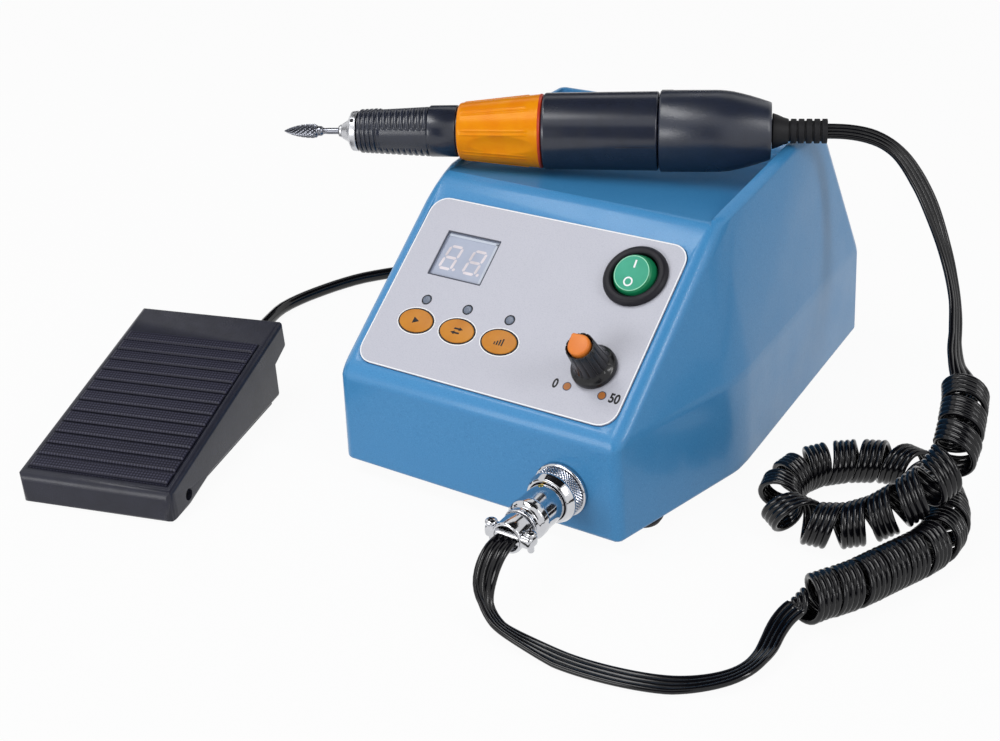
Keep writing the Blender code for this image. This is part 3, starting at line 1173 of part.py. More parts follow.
def handpiece_motor():
    """Stator and bearings in the case, and the spindle that turns in them."""
    front = CASE_START + CASE_FRONT_WALL + GAP
    tube = tube_profile([(front, STATOR_RADIUS), (CASE_END, STATOR_RADIUS)],
                        [(front, STATOR_BORE), (CASE_END, STATOR_BORE)])
    turned("stator", tube, (MAGNET, 0.5, 0.6), HAND, None, MEDIUM, bore=True)
    for name, low, radius in (("front_bearing", FRONT_BEARING_START, SLEEVE_BORE - GAP),
                              ("rear_bearing", REAR_BEARING_START, REAR_BEARING_RADIUS)):
        high = low + BEARING_LENGTH
        tube = tube_profile([(low, radius), (high, radius)],
                            [(low, SPINDLE_RADIUS + GAP), (high, SPINDLE_RADIUS + GAP)])
        turned(name, tube, (STEEL, 0.3, 1.0), HAND, None, MEDIUM, bore=True)
    flange_low = NOSE_LENGTH - NOSE_FLANGE
    outside = [(0, NOSE_TIP_RADIUS), (NOSE_FLANGE / 2, NOSE_TIP_RADIUS + GAP),
               (NOSE_FLANGE / 2, NOSE_THROAT_RADIUS), (flange_low - NOSE_FLANGE / 3, NOSE_RADIUS * 0.72),
               (flange_low, NOSE_RADIUS - GAP), (NOSE_LENGTH, NOSE_RADIUS)]
    inside = [(0, COLLET_BORE), (NOSE_LENGTH, COLLET_BORE)]
    turned("spindle_nose", tube_profile(outside, inside), (CHROME, 0.22, 1.0), HAND, None, MEDIUM,
           bore=True)
    start = NOSE_LENGTH + GAP
    outside = [(start, SPINDLE_RADIUS), (SPINDLE_BARREL_START, SPINDLE_RADIUS),
               (SPINDLE_BARREL_START, SPINDLE_BARREL_RADIUS),
               (SPINDLE_BARREL_END, SPINDLE_BARREL_RADIUS), (SPINDLE_BARREL_END, SPINDLE_RADIUS),
               (SPINDLE_END, SPINDLE_RADIUS)]
    bore = [(start, COLLET_BORE), (COLLET_DEPTH, COLLET_BORE), (COLLET_DEPTH, 0)]
    turned("spindle", [(SPINDLE_END, 0)] + list(reversed(outside)) + bore, (STEEL, 0.3, 1.0), HAND,
           None, SMALL)
    tube = tube_profile([(ROTOR_START, ROTOR_RADIUS), (ROTOR_END, ROTOR_RADIUS)],
                        [(ROTOR_START, SPINDLE_RADIUS + GAP), (ROTOR_END, SPINDLE_RADIUS + GAP)])
    turned("rotor", tube, (COPPER, 0.4, 0.6), HAND, None, MEDIUM, bore=True)
    head = BUR_HEAD_END - BUR_TIP
    outside = [(BUR_TIP + share * head, BUR_HEAD_RADIUS * size) for share, size in BUR_SHARES]
    outside += [(BUR_HEAD_END, BUR_NECK_RADIUS), (BUR_HEAD_END + BUR_HEAD_RADIUS, BUR_SHANK_RADIUS),
                (BUR_SHANK_END, BUR_SHANK_RADIUS)]
    turned("carbide_bur", solid_profile(outside), (STEEL, 0.3, 1.0), HAND, None, SMALL)


PEDAL_SLOPE = (PEDAL_BACK_HEIGHT - PEDAL_FRONT_HEIGHT) / PEDAL_LENGTH
PEDAL_ANGLE = math.atan(PEDAL_SLOPE)


def tread_height(v):
    """Height of the treadle's top face."""
    return PEDAL_FRONT_HEIGHT + v * PEDAL_SLOPE


def treadle():
    """The moulded cover that the foot presses, hinged near its front edge."""
    outline = [
        (0, TREADLE_FLOOR_GAP), (0, PEDAL_FRONT_HEIGHT), (PEDAL_LENGTH, PEDAL_BACK_HEIGHT),
        (PEDAL_LENGTH + TREADLE_FLOOR_GAP, TREADLE_LIP_TIP), (TREADLE_BACK_WALL, TREADLE_LIP_LOW),
        (TREADLE_BACK_WALL, TREADLE_SKIRT_HEIGHT), (TREADLE_SKIRT_RISE_END, TREADLE_SKIRT_HEIGHT),
        (TREADLE_SKIRT_START, TREADLE_FLOOR_GAP),
    ]
    back = shift(0, -PIVOT_V, -PIVOT_HEIGHT)
    cover = prism("treadle", outline, PEDAL_WIDTH / 2, (BLACK, 0.45, 0.0), PIVOT, back,
                  rounding=TREADLE_ROUND / 2, segments=2)
    wall = TREADLE_WALL
    inner_back = TREADLE_BACK_WALL - wall
    inner = [(wall, -OVERRUN), (wall, tread_height(wall) - wall),
             (inner_back, tread_height(inner_back) - wall - MAT_RECESS), (inner_back, -OVERRUN)]
    boolean(cover, prism("treadle_hollow", inner, PEDAL_WIDTH / 2 - wall, parent=PEDAL))
    hole = drum_mesh("pivot_hole", PIVOT_RADIUS + GAP, -PEDAL_WIDTH, PEDAL_WIDTH, SMALL)
    across = shift(0, PIVOT_V, PIVOT_HEIGHT) @ Matrix.Rotation(math.radians(90), 4, "Y")
    boolean(cover, cutter("treadle_pivot_hole", hole, PEDAL, across))
    slot_half = GROMMET_RADIUS + 2 * GAP
    slot_top = PEDAL_CORD_HEIGHT + GROMMET_RADIUS + (TREADLE_BACK_WALL - PIVOT_V) * PEDAL_TRAVEL + GAP
    slot = box_mesh("cord_slot", (2 * slot_half, wall + 2 * OVERRUN, slot_top + OVERRUN),
                    (0, TREADLE_BACK_WALL - wall / 2, (slot_top - OVERRUN) / 2))
    boolean(cover, cutter("treadle_cord_slot", slot, PEDAL))
    mat_place = shift(0, 0, PEDAL_FRONT_HEIGHT) @ Matrix.Rotation(PEDAL_ANGLE, 4, "X")
    half = PEDAL_WIDTH / 2 - MAT_SIDE
    recess = box_mesh("mat_recess", (2 * (half + GAP), MAT_BACK - MAT_FRONT + 2 * GAP,
                                     MAT_RECESS + OVERRUN),
                      (0, (MAT_FRONT + MAT_BACK) / 2, (OVERRUN - MAT_RECESS) / 2))
    boolean(cover, cutter("mat_recess", recess, PEDAL, mat_place))
    low = -MAT_RECESS + GAP
    high = low + MAT_THICKNESS
    pitch = (MAT_BACK - MAT_FRONT) / MAT_BARS
    top = []
    for index in range(MAT_BARS):
        start = MAT_FRONT + index * pitch
        groove = MAT_GROOVE_WIDTH if index else 0
        if groove:
            top.append((start + groove / 2, high - MAT_GROOVE_DEPTH))
        top.append((start + groove, high))
        top.append((start + pitch, high))
    outline = [(MAT_BACK, low), (MAT_FRONT, low)] + top
    prism("tread_mat", outline, half, (RUBBER, 0.75, 0.0), PIVOT, back @ mat_place)


def pedal_base():
    """The tray under the treadle, with its feet, pivot pin, spring, switch and grommet."""
    half = PEDAL_WIDTH / 2 - TREADLE_WALL - RUNNING_GAP
    outline = [(BASE_FRONT, BASE_BOTTOM), (BASE_FRONT, BASE_FRONT_TOP), (BASE_BACK, BASE_BACK_TOP),
               (BASE_BACK, BASE_BOTTOM)]
    tray = prism("pedal_base", outline, half, (BLACK, 0.5, 0.0), PEDAL)
    floor = BASE_BOTTOM + BASE_FLOOR
    inner = [(BASE_FRONT + BASE_WALL, floor), (BASE_FRONT + BASE_WALL, PEDAL_BACK_HEIGHT),
             (BASE_BACK - BASE_WALL, PEDAL_BACK_HEIGHT), (BASE_BACK - BASE_WALL, floor)]
    boolean(tray, prism("pedal_base_hollow", inner, half - BASE_WALL, parent=PEDAL))
    across = shift(0, PIVOT_V, PIVOT_HEIGHT) @ Matrix.Rotation(math.radians(90), 4, "Y")
    hole = drum_mesh("base_pivot_hole", PIVOT_RADIUS + GAP, -PEDAL_WIDTH, PEDAL_WIDTH, SMALL)
    boolean(tray, cutter("base_pivot_hole", hole, PEDAL, across))
    exit_place = shift(0, BASE_BACK, PEDAL_CORD_HEIGHT) @ Matrix.Rotation(math.radians(-90), 4, "X")
    neck = GROMMET_RADIUS - GROMMET_GROOVE
    hole = drum_mesh("base_cord_hole", neck + GAP, -BASE_WALL - OVERRUN, OVERRUN, SMALL)
    boolean(tray, cutter("base_cord_hole", hole, PEDAL, exit_place))
    pin = [(-PIVOT_HALF, PIVOT_RADIUS - GAP), (-PIVOT_HALF + GAP, PIVOT_RADIUS),
           (PIVOT_HALF - GAP, PIVOT_RADIUS), (PIVOT_HALF, PIVOT_RADIUS - GAP)]
    turned("pivot_pin", solid_profile(pin), (STEEL, 0.3, 1.0), PEDAL, across, SMALL)
    for row, v in (("front", BASE_FRONT + STRIP_INSET), ("rear", BASE_BACK - STRIP_INSET)):
        at = shift(0, v)
        length = 2 * (half - STRIP_INSET)
        pocket = box_mesh("strip_pocket", (length + 2 * GAP, STRIP_WIDTH + 2 * GAP,
                                           STRIP_HEIGHT + GAP + OVERRUN),
                          (0, 0, (STRIP_HEIGHT + GAP - OVERRUN) / 2))
        boolean(tray, cutter("strip_pocket_" + row, pocket, PEDAL, at))
        strip = box_mesh("pedal_strip", (length, STRIP_WIDTH, STRIP_HEIGHT), (0, 0, STRIP_HEIGHT / 2))
        node("pedal_strip_" + row, strip, (RUBBER, 0.8, 0.0), PEDAL, at)
    outside = [(-BASE_WALL - GAP - GROMMET_GROOVE, neck), (GAP, neck), (GAP, GROMMET_RADIUS)]
    outside += ribs(GROMMET_LENGTH / 3, GROMMET_LENGTH, GROMMET_RIBS,
                    lambda _: GROMMET_TAIL_RADIUS + GROMMET_GROOVE / 2, lambda _: GROMMET_TAIL_RADIUS)
    outside += [(GROMMET_LENGTH, GROMMET_TAIL_RADIUS)]
    turned("cord_grommet", solid_profile(outside), (RUBBER, 0.6, 0.0), PEDAL, exit_place, SMALL)
    ceiling = tread_height(SPRING_V) - TREADLE_WALL - MAT_RECESS
    low = floor + GAP + SPRING_WIRE_RADIUS
    high = ceiling - 2 * SPRING_WIRE_RADIUS - SPRING_RADIUS * PEDAL_SLOPE
    wire = []
    for step in range(SPRING_TURNS * SPRING_POINTS + 1):
        turn = 2 * math.pi * step / SPRING_POINTS
        share = step / (SPRING_TURNS * SPRING_POINTS)
        wire.append((SPRING_RADIUS * math.cos(turn), SPRING_V + SPRING_RADIUS * math.sin(turn),
                     low + share * (high - low)))
    cable("return_spring", wire, SPRING_WIRE_RADIUS, (STEEL, 0.3, 1.0), PEDAL, 1)
    body = box_mesh("pedal_switch", (SWITCH_WIDTH, SWITCH_LENGTH, SWITCH_HEIGHT),
                    (0, SWITCH_V, floor + GAP + SWITCH_HEIGHT / 2))
    switch = node("pedal_switch", body, (BLACK, 0.5, 0.0), PEDAL)
    plunger = drum_mesh("plunger", PLUNGER_RADIUS, floor + SWITCH_HEIGHT / 2,
                        floor + GAP + SWITCH_HEIGHT + PLUNGER_HEIGHT, 8)
    boolean(switch, cutter("switch_plunger", plunger, PEDAL, shift(0, SWITCH_V)), "UNION")


def cable(name, points, radius, finish, parent, resolution=2):
    """A round cable or wire along a chain of points."""
    curve = bpy.data.curves.new(name, "CURVE")
    curve.dimensions = "3D"
    curve.bevel_depth = radius
    curve.bevel_resolution = resolution
    curve.use_fill_caps = True
    line = curve.splines.new("POLY")
    line.points.add(len(points) - 1)
    for target, point in zip(line.points, points):
        target.co = (*point, 1)
    return node(name, curve, finish, parent)


def smooth_route(points, step):
    """Points at an even step on a smooth curve through the route's own points."""
    control = np.array(points, float)
    control = np.vstack([2 * control[0] - control[1], control, 2 * control[-1] - control[-2]])
    dense = []
    for before, start, end, after in zip(control, control[1:], control[2:], control[3:]):
        for share in np.linspace(0, 1, 24, endpoint=False):
            dense.append(0.5 * (2 * start + (end - before) * share
                                + (2 * before - 5 * start + 4 * end - after) * share ** 2
                                + (3 * start - before - 3 * end + after) * share ** 3))
    dense.append(control[-2])
    dense = np.array(dense)
    travelled = np.concatenate([[0], np.cumsum(np.linalg.norm(np.diff(dense, axis=0), axis=1))])
    count = max(2, round(travelled[-1] / step) + 1)
    places = np.linspace(0, travelled[-1], count)
    return np.column_stack([np.interp(places, travelled, dense[:, axis]) for axis in range(3)])


def length_of(points):
    return float(np.linalg.norm(np.diff(np.array(points), axis=0), axis=1).sum())


def ribbon_section():
    """Cross-section of the flat cord: four round backs on the outside, one flat inside."""
    across = RIBBON_WIDTH / 2
    thick = WIRE_DIAMETER / 2
    outline = [(-across + WIRE_DIAMETER / 4, -thick), (across - WIRE_DIAMETER / 4, -thick)]
    for index in reversed(range(WIRES)):
        crest = -across + (index + 0.5) * WIRE_DIAMETER
        outline.append((crest, thick))
        if index:
            outline.append((crest - WIRE_DIAMETER / 2, thick - RIBBON_VALLEY))
    return outline


def route_frames(points):
    """Tangent, sideways and upward directions along a route that is never quite upright."""
    tangents = np.gradient(points, axis=0)
    tangents /= np.linalg.norm(tangents, axis=1)[:, None]
    sides = np.cross(tangents, (0, 0, 1))
    sides /= np.linalg.norm(sides, axis=1)[:, None]
    return tangents, sides, np.cross(sides, tangents)


def ribbon_rings(centres, outward, ends):
    """The ribbon's section at each centre; outward is where the backs of its wires face."""
    heading = np.gradient(centres, axis=0)
    heading[0], heading[-1] = ends
    heading /= np.linalg.norm(heading, axis=1)[:, None]
    outward = outward - (outward * heading).sum(axis=1)[:, None] * heading
    outward /= np.linalg.norm(outward, axis=1)[:, None]
    across = np.cross(heading, outward)
    return [[centre + wide * u + thick * v for u, v in ribbon_section()]
            for centre, wide, thick in zip(centres, across, outward)]


def ribbon(name, centres, outward, ends, finish, parent):
    """Sweep the ribbon's section along its centre line; ends holds its first and last headings."""
    rings = ribbon_rings(centres, outward, ends)
    bm = bmesh.new()
    start = bm.faces.new([bm.verts.new(place) for place in rings[0]])
    cap = start
    for ring in rings[1:]:
        grown = bmesh.ops.extrude_face_region(bm, geom=[cap])["geom"]
        if cap is not start:
            bmesh.ops.delete(bm, geom=[cap], context="FACES_ONLY")
        cap = next(item for item in grown if isinstance(item, bmesh.types.BMFace))
        for vert, place in zip(cap.verts, ring):
            vert.co = place
    return node(name, mesh_from(bm, name), finish, parent)


def softened(points, step, reach):
    """Average a chain of even points over a reach, with both ends held."""
    radius = int(3 * reach / step)
    offsets = np.arange(-radius, radius + 1) * step
    weights = np.exp(-(offsets / reach) ** 2 / 2)
    weights /= weights.sum()
    before = 2 * points[0] - points[radius:0:-1]
    after = 2 * points[-1] - points[-2:-radius - 2:-1]
    padded = np.vstack([before, points, after])
    return np.column_stack([np.convolve(padded[:, axis], weights, mode="valid")
                            for axis in range(3)])


def places_along(points):
    """Distance travelled at each point of a chain."""
    return np.concatenate([[0], np.cumsum(np.linalg.norm(np.diff(points, axis=0), axis=1))])


def read_at(at, places, values):
    """Values given at places, read at other places along the same chain."""
    return np.column_stack([np.interp(at, places, values[:, axis]) for axis in range(3)])


def cord_stretches(clamp_end):
    """The handpiece cord's whole route, cut into its front lead, curled stretch and rear lead."""
    out = [PLUG_PLACE @ Vector((0, 0, clamp_end + step)) for step in (0, STRAIGHT_EXIT)]
    home = [HAND_PLACE @ Vector((0, 0, RELIEF_END + step)) for step in (STRAIGHT_EXIT, 0)]
    route = ([tuple(point) for point in out] + FRONT_LEAD_ROUTE + CURL_ROUTE + REAR_LEAD_ROUTE
             + [tuple(point) for point in home])
    line = softened(smooth_route(route, ROUTE_STEP), ROUTE_STEP, ROUTE_SOFTNESS)
    cuts = [int(np.linalg.norm(line - np.array(end), axis=1).argmin())
            for end in (CURL_ROUTE[0], CURL_ROUTE[-1])]
    return line, cuts


def lead_centres(line, places, start, end):
    """Points of a straight-lying lead between two distances, and where its wires face."""
    count = round((end - start) / LEAD_STEP) + 1
    at = np.linspace(start, end, count)
    headings, _, ups = route_frames(line)
    return read_at(at, places, line), read_at(at, places, ups), read_at(at, places, headings)[[0, -1]]


def curl_centres(axis, places, points_per_turn):
    """Centre line and outward directions of the curled stretch of the handpiece cord.

    The curls lie closed: where the route bends, they touch on the inside of the bend and open on
    its outside, so their pitch grows with the bend. They wind to the left.
    """
    tangents, sides, ups = route_frames(axis)
    bend = np.linalg.norm(np.gradient(tangents, axis=0), axis=1) / np.gradient(places)
    closed = (RIBBON_WIDTH + CURL_CLEARANCE) / (1 - bend * CURL_RADIUS)
    pitch = np.maximum(CURL_PITCH, closed)
    first, last = np.searchsorted(places, (places[0] + CURL_LEAD, places[-1] - CURL_LEAD))
    curled = slice(first, last + 1)
    turned_by = np.concatenate([[0], np.cumsum((np.diff(places) / pitch[:-1])[first:last])])
    turns = round(turned_by[-1])
    turned_by *= turns / turned_by[-1]
    lead_points = round(CURL_LEAD / LEAD_STEP) + 2
    at = np.concatenate([
        np.linspace(places[0], places[first], lead_points)[:-1],
        np.interp(np.linspace(0, turns, turns * points_per_turn + 1), turned_by, places[curled]),
        np.linspace(places[last], places[-1], lead_points)[1:],
    ])
    angle = 2 * math.pi * np.interp(at, places[curled], turned_by)
    eased = np.minimum(angle, 2 * math.pi * turns - angle) / (2 * math.pi * CURL_EASE_TURNS)
    radius = CURL_RADIUS * np.sin(math.pi / 2 * np.clip(eased, 0, 1))
    centre, side, up = (read_at(at, places, field) for field in (axis, sides, ups))
    outward = up * np.cos(angle)[:, None] - side * np.sin(angle)[:, None]
    return centre + outward * radius[:, None], outward, tangents[[0, -1]], turns


def least_ring_gap(centres, outward, ends, apart):
    """Least distance between the ribbon's surface points that lie apart along it."""
    rings = np.array(ribbon_rings(centres, outward, ends))
    places = places_along(centres)
    least = math.inf
    for index in range(len(rings)):
        far = rings[places > places[index] + apart].reshape(-1, 3)
        if len(far):
            spans = np.linalg.norm(far[None, :, :] - rings[index][:, None, :], axis=2)
            least = min(least, spans.min())
    return least


def least_self_gap(points, thickness, apart):
    """Least clear distance between stretches of a line that are apart along it."""
    places = np.concatenate([[0], np.cumsum(np.linalg.norm(np.diff(points, axis=0), axis=1))])
    least = math.inf
    for index in range(len(points)):
        far = places > places[index] + apart
        if far.any():
            least = min(least, np.linalg.norm(points[far] - points[index], axis=1).min())
    return least - thickness


def handpiece_cord(clamp_end):
    finish = (RUBBER, 0.35, 0.0)
    line, (first, last) = cord_stretches(clamp_end)
    places = places_along(line)
    front, *front_frame = lead_centres(line, places, GAP, places[first] - GAP)
    rear, *rear_frame = lead_centres(line, places, places[last] + GAP, places[-1] - GAP)
    middle = slice(first, last + 1)
    curls, outward, ends, turns = curl_centres(line[middle], places[middle], CURL_POINTS)
    ribbon("handpiece_cord_front", front, *front_frame, finish, UNIT)
    ribbon("handpiece_cord_curls", curls, outward, ends, finish, UNIT)
    ribbon("handpiece_cord_rear", rear, *rear_frame, finish, UNIT)
    lengths = [length_of(stretch) for stretch in (front, curls, rear)]
    print("handpiece cord stretches", [round(item, 4) for item in lengths], "turns", turns)
    *fine, _ = curl_centres(line[middle], places[middle], 3 * CURL_POINTS)
    print("handpiece cord curls, least gap to themselves",
          round(least_ring_gap(*fine, 4 * CURL_RADIUS), 5))


def coil_points():
    """Two layers of loops: the lower spirals in, the upper spirals out again."""
    total = COIL_LOOPS * COIL_POINTS
    half = COIL_LOOPS / 2
    points = []
    for step in range(total + 1):
        turn = step / COIL_POINTS
        inward = min(turn, COIL_LOOPS - turn)
        radius = COIL_INNER + (half - inward) * CABLE_LAY
        climb = min(1.0, max(0.0, (turn - half) * 2 + 0.5))
        height = CABLE_DIAMETER / 2 + GAP + CABLE_LAY * climb
        angle = COIL_START - 2 * math.pi * turn
        points.append((COIL_X + radius * math.cos(angle), COIL_Y + radius * math.sin(angle), height))
    return points


def straight_ends(route, start, end):
    """A route at an even step that runs straight into its two end points."""
    bent = smooth_route([start[1]] + route + [end[1]], CABLE_STEP)
    return [tuple(start[0])] + [tuple(point) for point in bent] + [tuple(end[0])]


def pedal_cord(plug_end):
    finish = (RUBBER, 0.4, 0.0)
    grommet = [tuple(PEDAL_PLACE @ Vector((0, BASE_BACK + GROMMET_LENGTH + step, PEDAL_CORD_HEIGHT)))
               for step in (GAP, COIL_LEAD)]
    coil = coil_points()
    heading = (Vector(coil[0]) - Vector(coil[1])).normalized()
    coil_in = [tuple(Vector(coil[0]) + heading * step) for step in (GAP, COIL_LEAD)]
    heading = (Vector(coil[-1]) - Vector(coil[-2])).normalized()
    coil_out = [tuple(Vector(coil[-1]) + heading * step) for step in (GAP, COIL_LEAD)]
    socket = [(JACK_X, plug_end + step, REAR_SOCKET_HEIGHT) for step in (GAP, COIL_LEAD)]
    lead = straight_ends(PEDAL_LEAD_ROUTE, grommet, coil_in)
    tail = straight_ends(TAIL_ROUTE, coil_out, socket)
    cable("pedal_cord_lead", lead, CABLE_DIAMETER / 2, finish, UNIT)
    cable("pedal_cord_coil", coil, CABLE_DIAMETER / 2, finish, UNIT, 1)
    cable("pedal_cord_tail", tail, CABLE_DIAMETER / 2, finish, UNIT)
    print("pedal cord stretches", [round(length_of(part), 4) for part in (lead, coil, tail)])
    print("pedal cord coil, least gap to itself",
          round(least_self_gap(np.array(coil), CABLE_DIAMETER, 3 * CABLE_DIAMETER), 5))


CORD_NAMES = ("handpiece_cord_front", "handpiece_cord_curls", "handpiece_cord_rear",
              "pedal_cord_lead", "pedal_cord_coil", "pedal_cord_tail", "pedal_plug")


def centre_on_origin():
    """Move the layout so that the middle of the rigid pieces' box lies over the origin."""
    bpy.context.view_layer.update()
    depsgraph = bpy.context.evaluated_depsgraph_get()
    lows, highs = [], []
    for piece in PARTS.objects:
        if piece.type == "EMPTY" or piece.name in CORD_NAMES:
            continue
        shape = piece.evaluated_get(depsgraph)
        mesh = shape.to_mesh()
        spots = np.array([piece.matrix_world @ vert.co for vert in mesh.vertices])
        lows.append(spots.min(axis=0))
        highs.append(spots.max(axis=0))
        shape.to_mesh_clear()
    middle = (np.min(lows, axis=0) + np.max(highs, axis=0)) / 2
    UNIT.location = (-middle[0], -middle[1], 0)
    bpy.context.view_layer.update()


def build():
    openings = panel_openings()
    housing(openings)
    base_plate()
    unit_feet()
    overlay(openings)
    display()
    lamps()
    keys()
    rocker_switch()
    speed_control()
    clamp_end = motor_connector()
    plug_end = rear_sockets()
    power_supply()
    handpiece_shell()
    handpiece_motor()
    treadle()
    pedal_base()
    handpiece_cord(clamp_end)
    pedal_cord(plug_end)
    centre_on_origin()


build()
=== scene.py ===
"""Dental laboratory micromotor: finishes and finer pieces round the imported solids.

Sizes are given in millimetres and made in metres, +Z up. Every piece is made in its place on
the part, and its object stays at the origin.
"""
import json
import math

import bmesh
import bpy
import numpy as np
from mathutils import Matrix, Vector


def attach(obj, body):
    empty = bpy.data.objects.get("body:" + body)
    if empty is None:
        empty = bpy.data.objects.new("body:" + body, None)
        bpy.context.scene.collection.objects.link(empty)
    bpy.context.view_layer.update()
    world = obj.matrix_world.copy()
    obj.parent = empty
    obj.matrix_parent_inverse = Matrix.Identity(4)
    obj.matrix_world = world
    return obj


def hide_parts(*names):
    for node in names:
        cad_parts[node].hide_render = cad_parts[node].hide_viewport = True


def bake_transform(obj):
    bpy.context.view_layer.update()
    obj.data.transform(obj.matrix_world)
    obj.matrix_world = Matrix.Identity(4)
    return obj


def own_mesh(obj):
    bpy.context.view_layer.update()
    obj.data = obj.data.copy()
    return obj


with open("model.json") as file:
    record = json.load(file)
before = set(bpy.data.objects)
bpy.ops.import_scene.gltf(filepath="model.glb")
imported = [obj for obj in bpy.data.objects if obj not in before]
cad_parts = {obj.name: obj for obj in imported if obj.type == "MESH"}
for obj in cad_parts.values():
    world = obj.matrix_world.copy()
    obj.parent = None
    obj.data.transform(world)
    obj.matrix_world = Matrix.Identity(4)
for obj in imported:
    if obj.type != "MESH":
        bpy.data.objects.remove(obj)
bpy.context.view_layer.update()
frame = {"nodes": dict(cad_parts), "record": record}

MM = 0.001
FULL_TURN = 2 * math.pi
BODY_OF = {node: body for body, nodes in frame["record"]["behaviour"]["bodies"].items()
           for node in nodes}


def point(x=0.0, y=0.0, z=0.0):
    return Vector((x * MM, y * MM, z * MM))


def shift(x=0.0, y=0.0, z=0.0):
    return Matrix.Translation(point(x, y, z))


def turn(degrees, axis):
    return Matrix.Rotation(math.radians(degrees), 4, axis)


def slope(rise, run):
    return math.degrees(math.atan2(rise, run))


# Places of the assemblies, as the solids have them
UNIT = shift(51.063, -57.73)
PANEL = UNIT @ shift(0, 0.5, 41.6) @ turn(slope(51.2, 68.9), "X")
PLUG = UNIT @ shift(35.7, 0, 20.6) @ turn(90, "X")
HAND = UNIT @ shift(-95.3, 60.2, 104.9) @ turn(25.3, "Z") @ turn(90, "Y")
PEDAL = UNIT @ shift(-117.4, -67.0) @ turn(15.6, "Z")
TREADLE_SLOPE = slope(19.5, 98.0)
OVERLAY_TOP = 0.5
CLAMP_END = 33.6
RELIEF_END = 179.0


# Objects and nodes
def linked(name, data):
    made = bpy.data.objects.new(name, data)
    bpy.context.scene.collection.objects.link(made)
    return made


def as_mesh(name, bm):
    mesh = bpy.data.meshes.new(name)
    bm.to_mesh(mesh)
    bm.free()
    return mesh


def fill(tree, node, inputs):
    """Give each named input of a node its value, or the output that feeds it."""
    for name, value in inputs.items():
        if isinstance(value, bpy.types.NodeSocket):
            tree.links.new(value, node.inputs[name])
        else:
            node.inputs[name].default_value = value
    return node


def add_node(tree, kind, inputs=(), **settings):
    node = tree.nodes.new("ShaderNode" + kind)
    for name, value in settings.items():
        setattr(node, name, value)
    return fill(tree, node, dict(inputs))


def either(tree, first, second):
    """1 for a ray that is of one kind or the other."""
    return add_node(tree, "Math", {0: first, 1: second}, operation="MAXIMUM").outputs[0]


def new_material(name, settings):
    material = bpy.data.materials.new(name)
    material.use_nodes = True
    fill(material.node_tree, material.node_tree.nodes["Principled BSDF"], settings)
    return material


# Camera and studio
def set_camera():
    """The photograph's camera, by its turn round the object, its rise and its roll."""
    data = bpy.data.cameras.new("camera")
    data.sensor_width, data.lens, data.clip_start = 36.0, 56.47, 0.01
    camera = linked("camera", data)
    camera.matrix_world = (shift(322.873, -426.360, 300.390) @ turn(35.01, "Z")
                           @ turn(90 - 28.18, "X") @ turn(-3.29, "Z"))
    bpy.context.scene.camera = camera


def soft_lamp(name, place, aim, size, power):
    data = bpy.data.lights.new(name, "AREA")
    data.shape = "RECTANGLE"
    data.size, data.size_y = point(*size).xy
    data.energy = power
    lamp = linked(name, data)
    lamp.location = point(*place)
    lamp.rotation_euler = (point(*aim) - point(*place)).to_track_quat("-Z", "Y").to_euler()


def studio():
    """White surroundings for the eye and for reflections, and plain soft light."""
    scene = bpy.context.scene
    scene.view_settings.view_transform = "Standard"
    scene.world = bpy.data.worlds.new("studio")
    scene.world.use_nodes = True
    tree = scene.world.node_tree
    ray = add_node(tree, "LightPath").outputs
    seen = either(tree, ray["Is Camera Ray"], ray["Is Transmission Ray"])
    seen = either(tree, seen, ray["Is Glossy Ray"])
    level = add_node(tree, "MapRange", {"Value": seen, "To Min": 0.42, "To Max": 1.0})
    fill(tree, tree.nodes["Background"], {"Color": (1, 1, 1, 1), "Strength": level.outputs[0]})
    soft_lamp("top_lamp", (-260, -340, 1100), (20, 0, 40), (850, 260), 5.0)
    soft_lamp("front_lamp", (-250, -1200, 340), (0, 0, 40), (800, 400), 5.2)
    soft_lamp("side_lamp", (1050, -100, 650), (50, 0, 50), (120, 600), 3.0)


def flat_grid(width, height, columns=1, rows=1):
    bm = bmesh.new()
    bmesh.ops.create_grid(bm, x_segments=columns, y_segments=rows, size=0.5)
    bmesh.ops.scale(bm, vec=(width * MM, height * MM, 1), verts=bm.verts[:])
    return bm


def stage_sheet(name, size, place, material):
    """A flat sheet of the studio."""
    bm = flat_grid(*size)
    bm.transform(place)
    mesh = as_mesh(name, bm)
    mesh.materials.append(material)
    return linked(name, mesh)


def dark_cards():
    """Black cards that only reflections see, for contrast on metal and gloss."""
    cards = {"behind": ((-620, 950, 460), (1100, 560)), "right": ((950, 750, 220), (360, 500)),
             "front": ((620, -1050, 160), (300, 360)), "left": ((-1050, -350, 340), (500, 420)),
             "above": ((0, 250, 1600), (2400, 2000)), "near": ((450, -1150, 500), (620, 800))}
    for tag, (place, size) in cards.items():
        aim = (point(30, 0, 50) - point(*place)).to_track_quat("Z", "Y").to_matrix().to_4x4()
        black = new_material("card_" + tag, {"Base Color": (0.01, 0.01, 0.012, 1),
                                             "Roughness": 1.0})
        card = stage_sheet("card_" + tag, size, shift(*place) @ aim, black)
        for sight in ("camera", "diffuse", "transmission", "volume_scatter", "shadow"):
            setattr(card, "visible_" + sight, False)


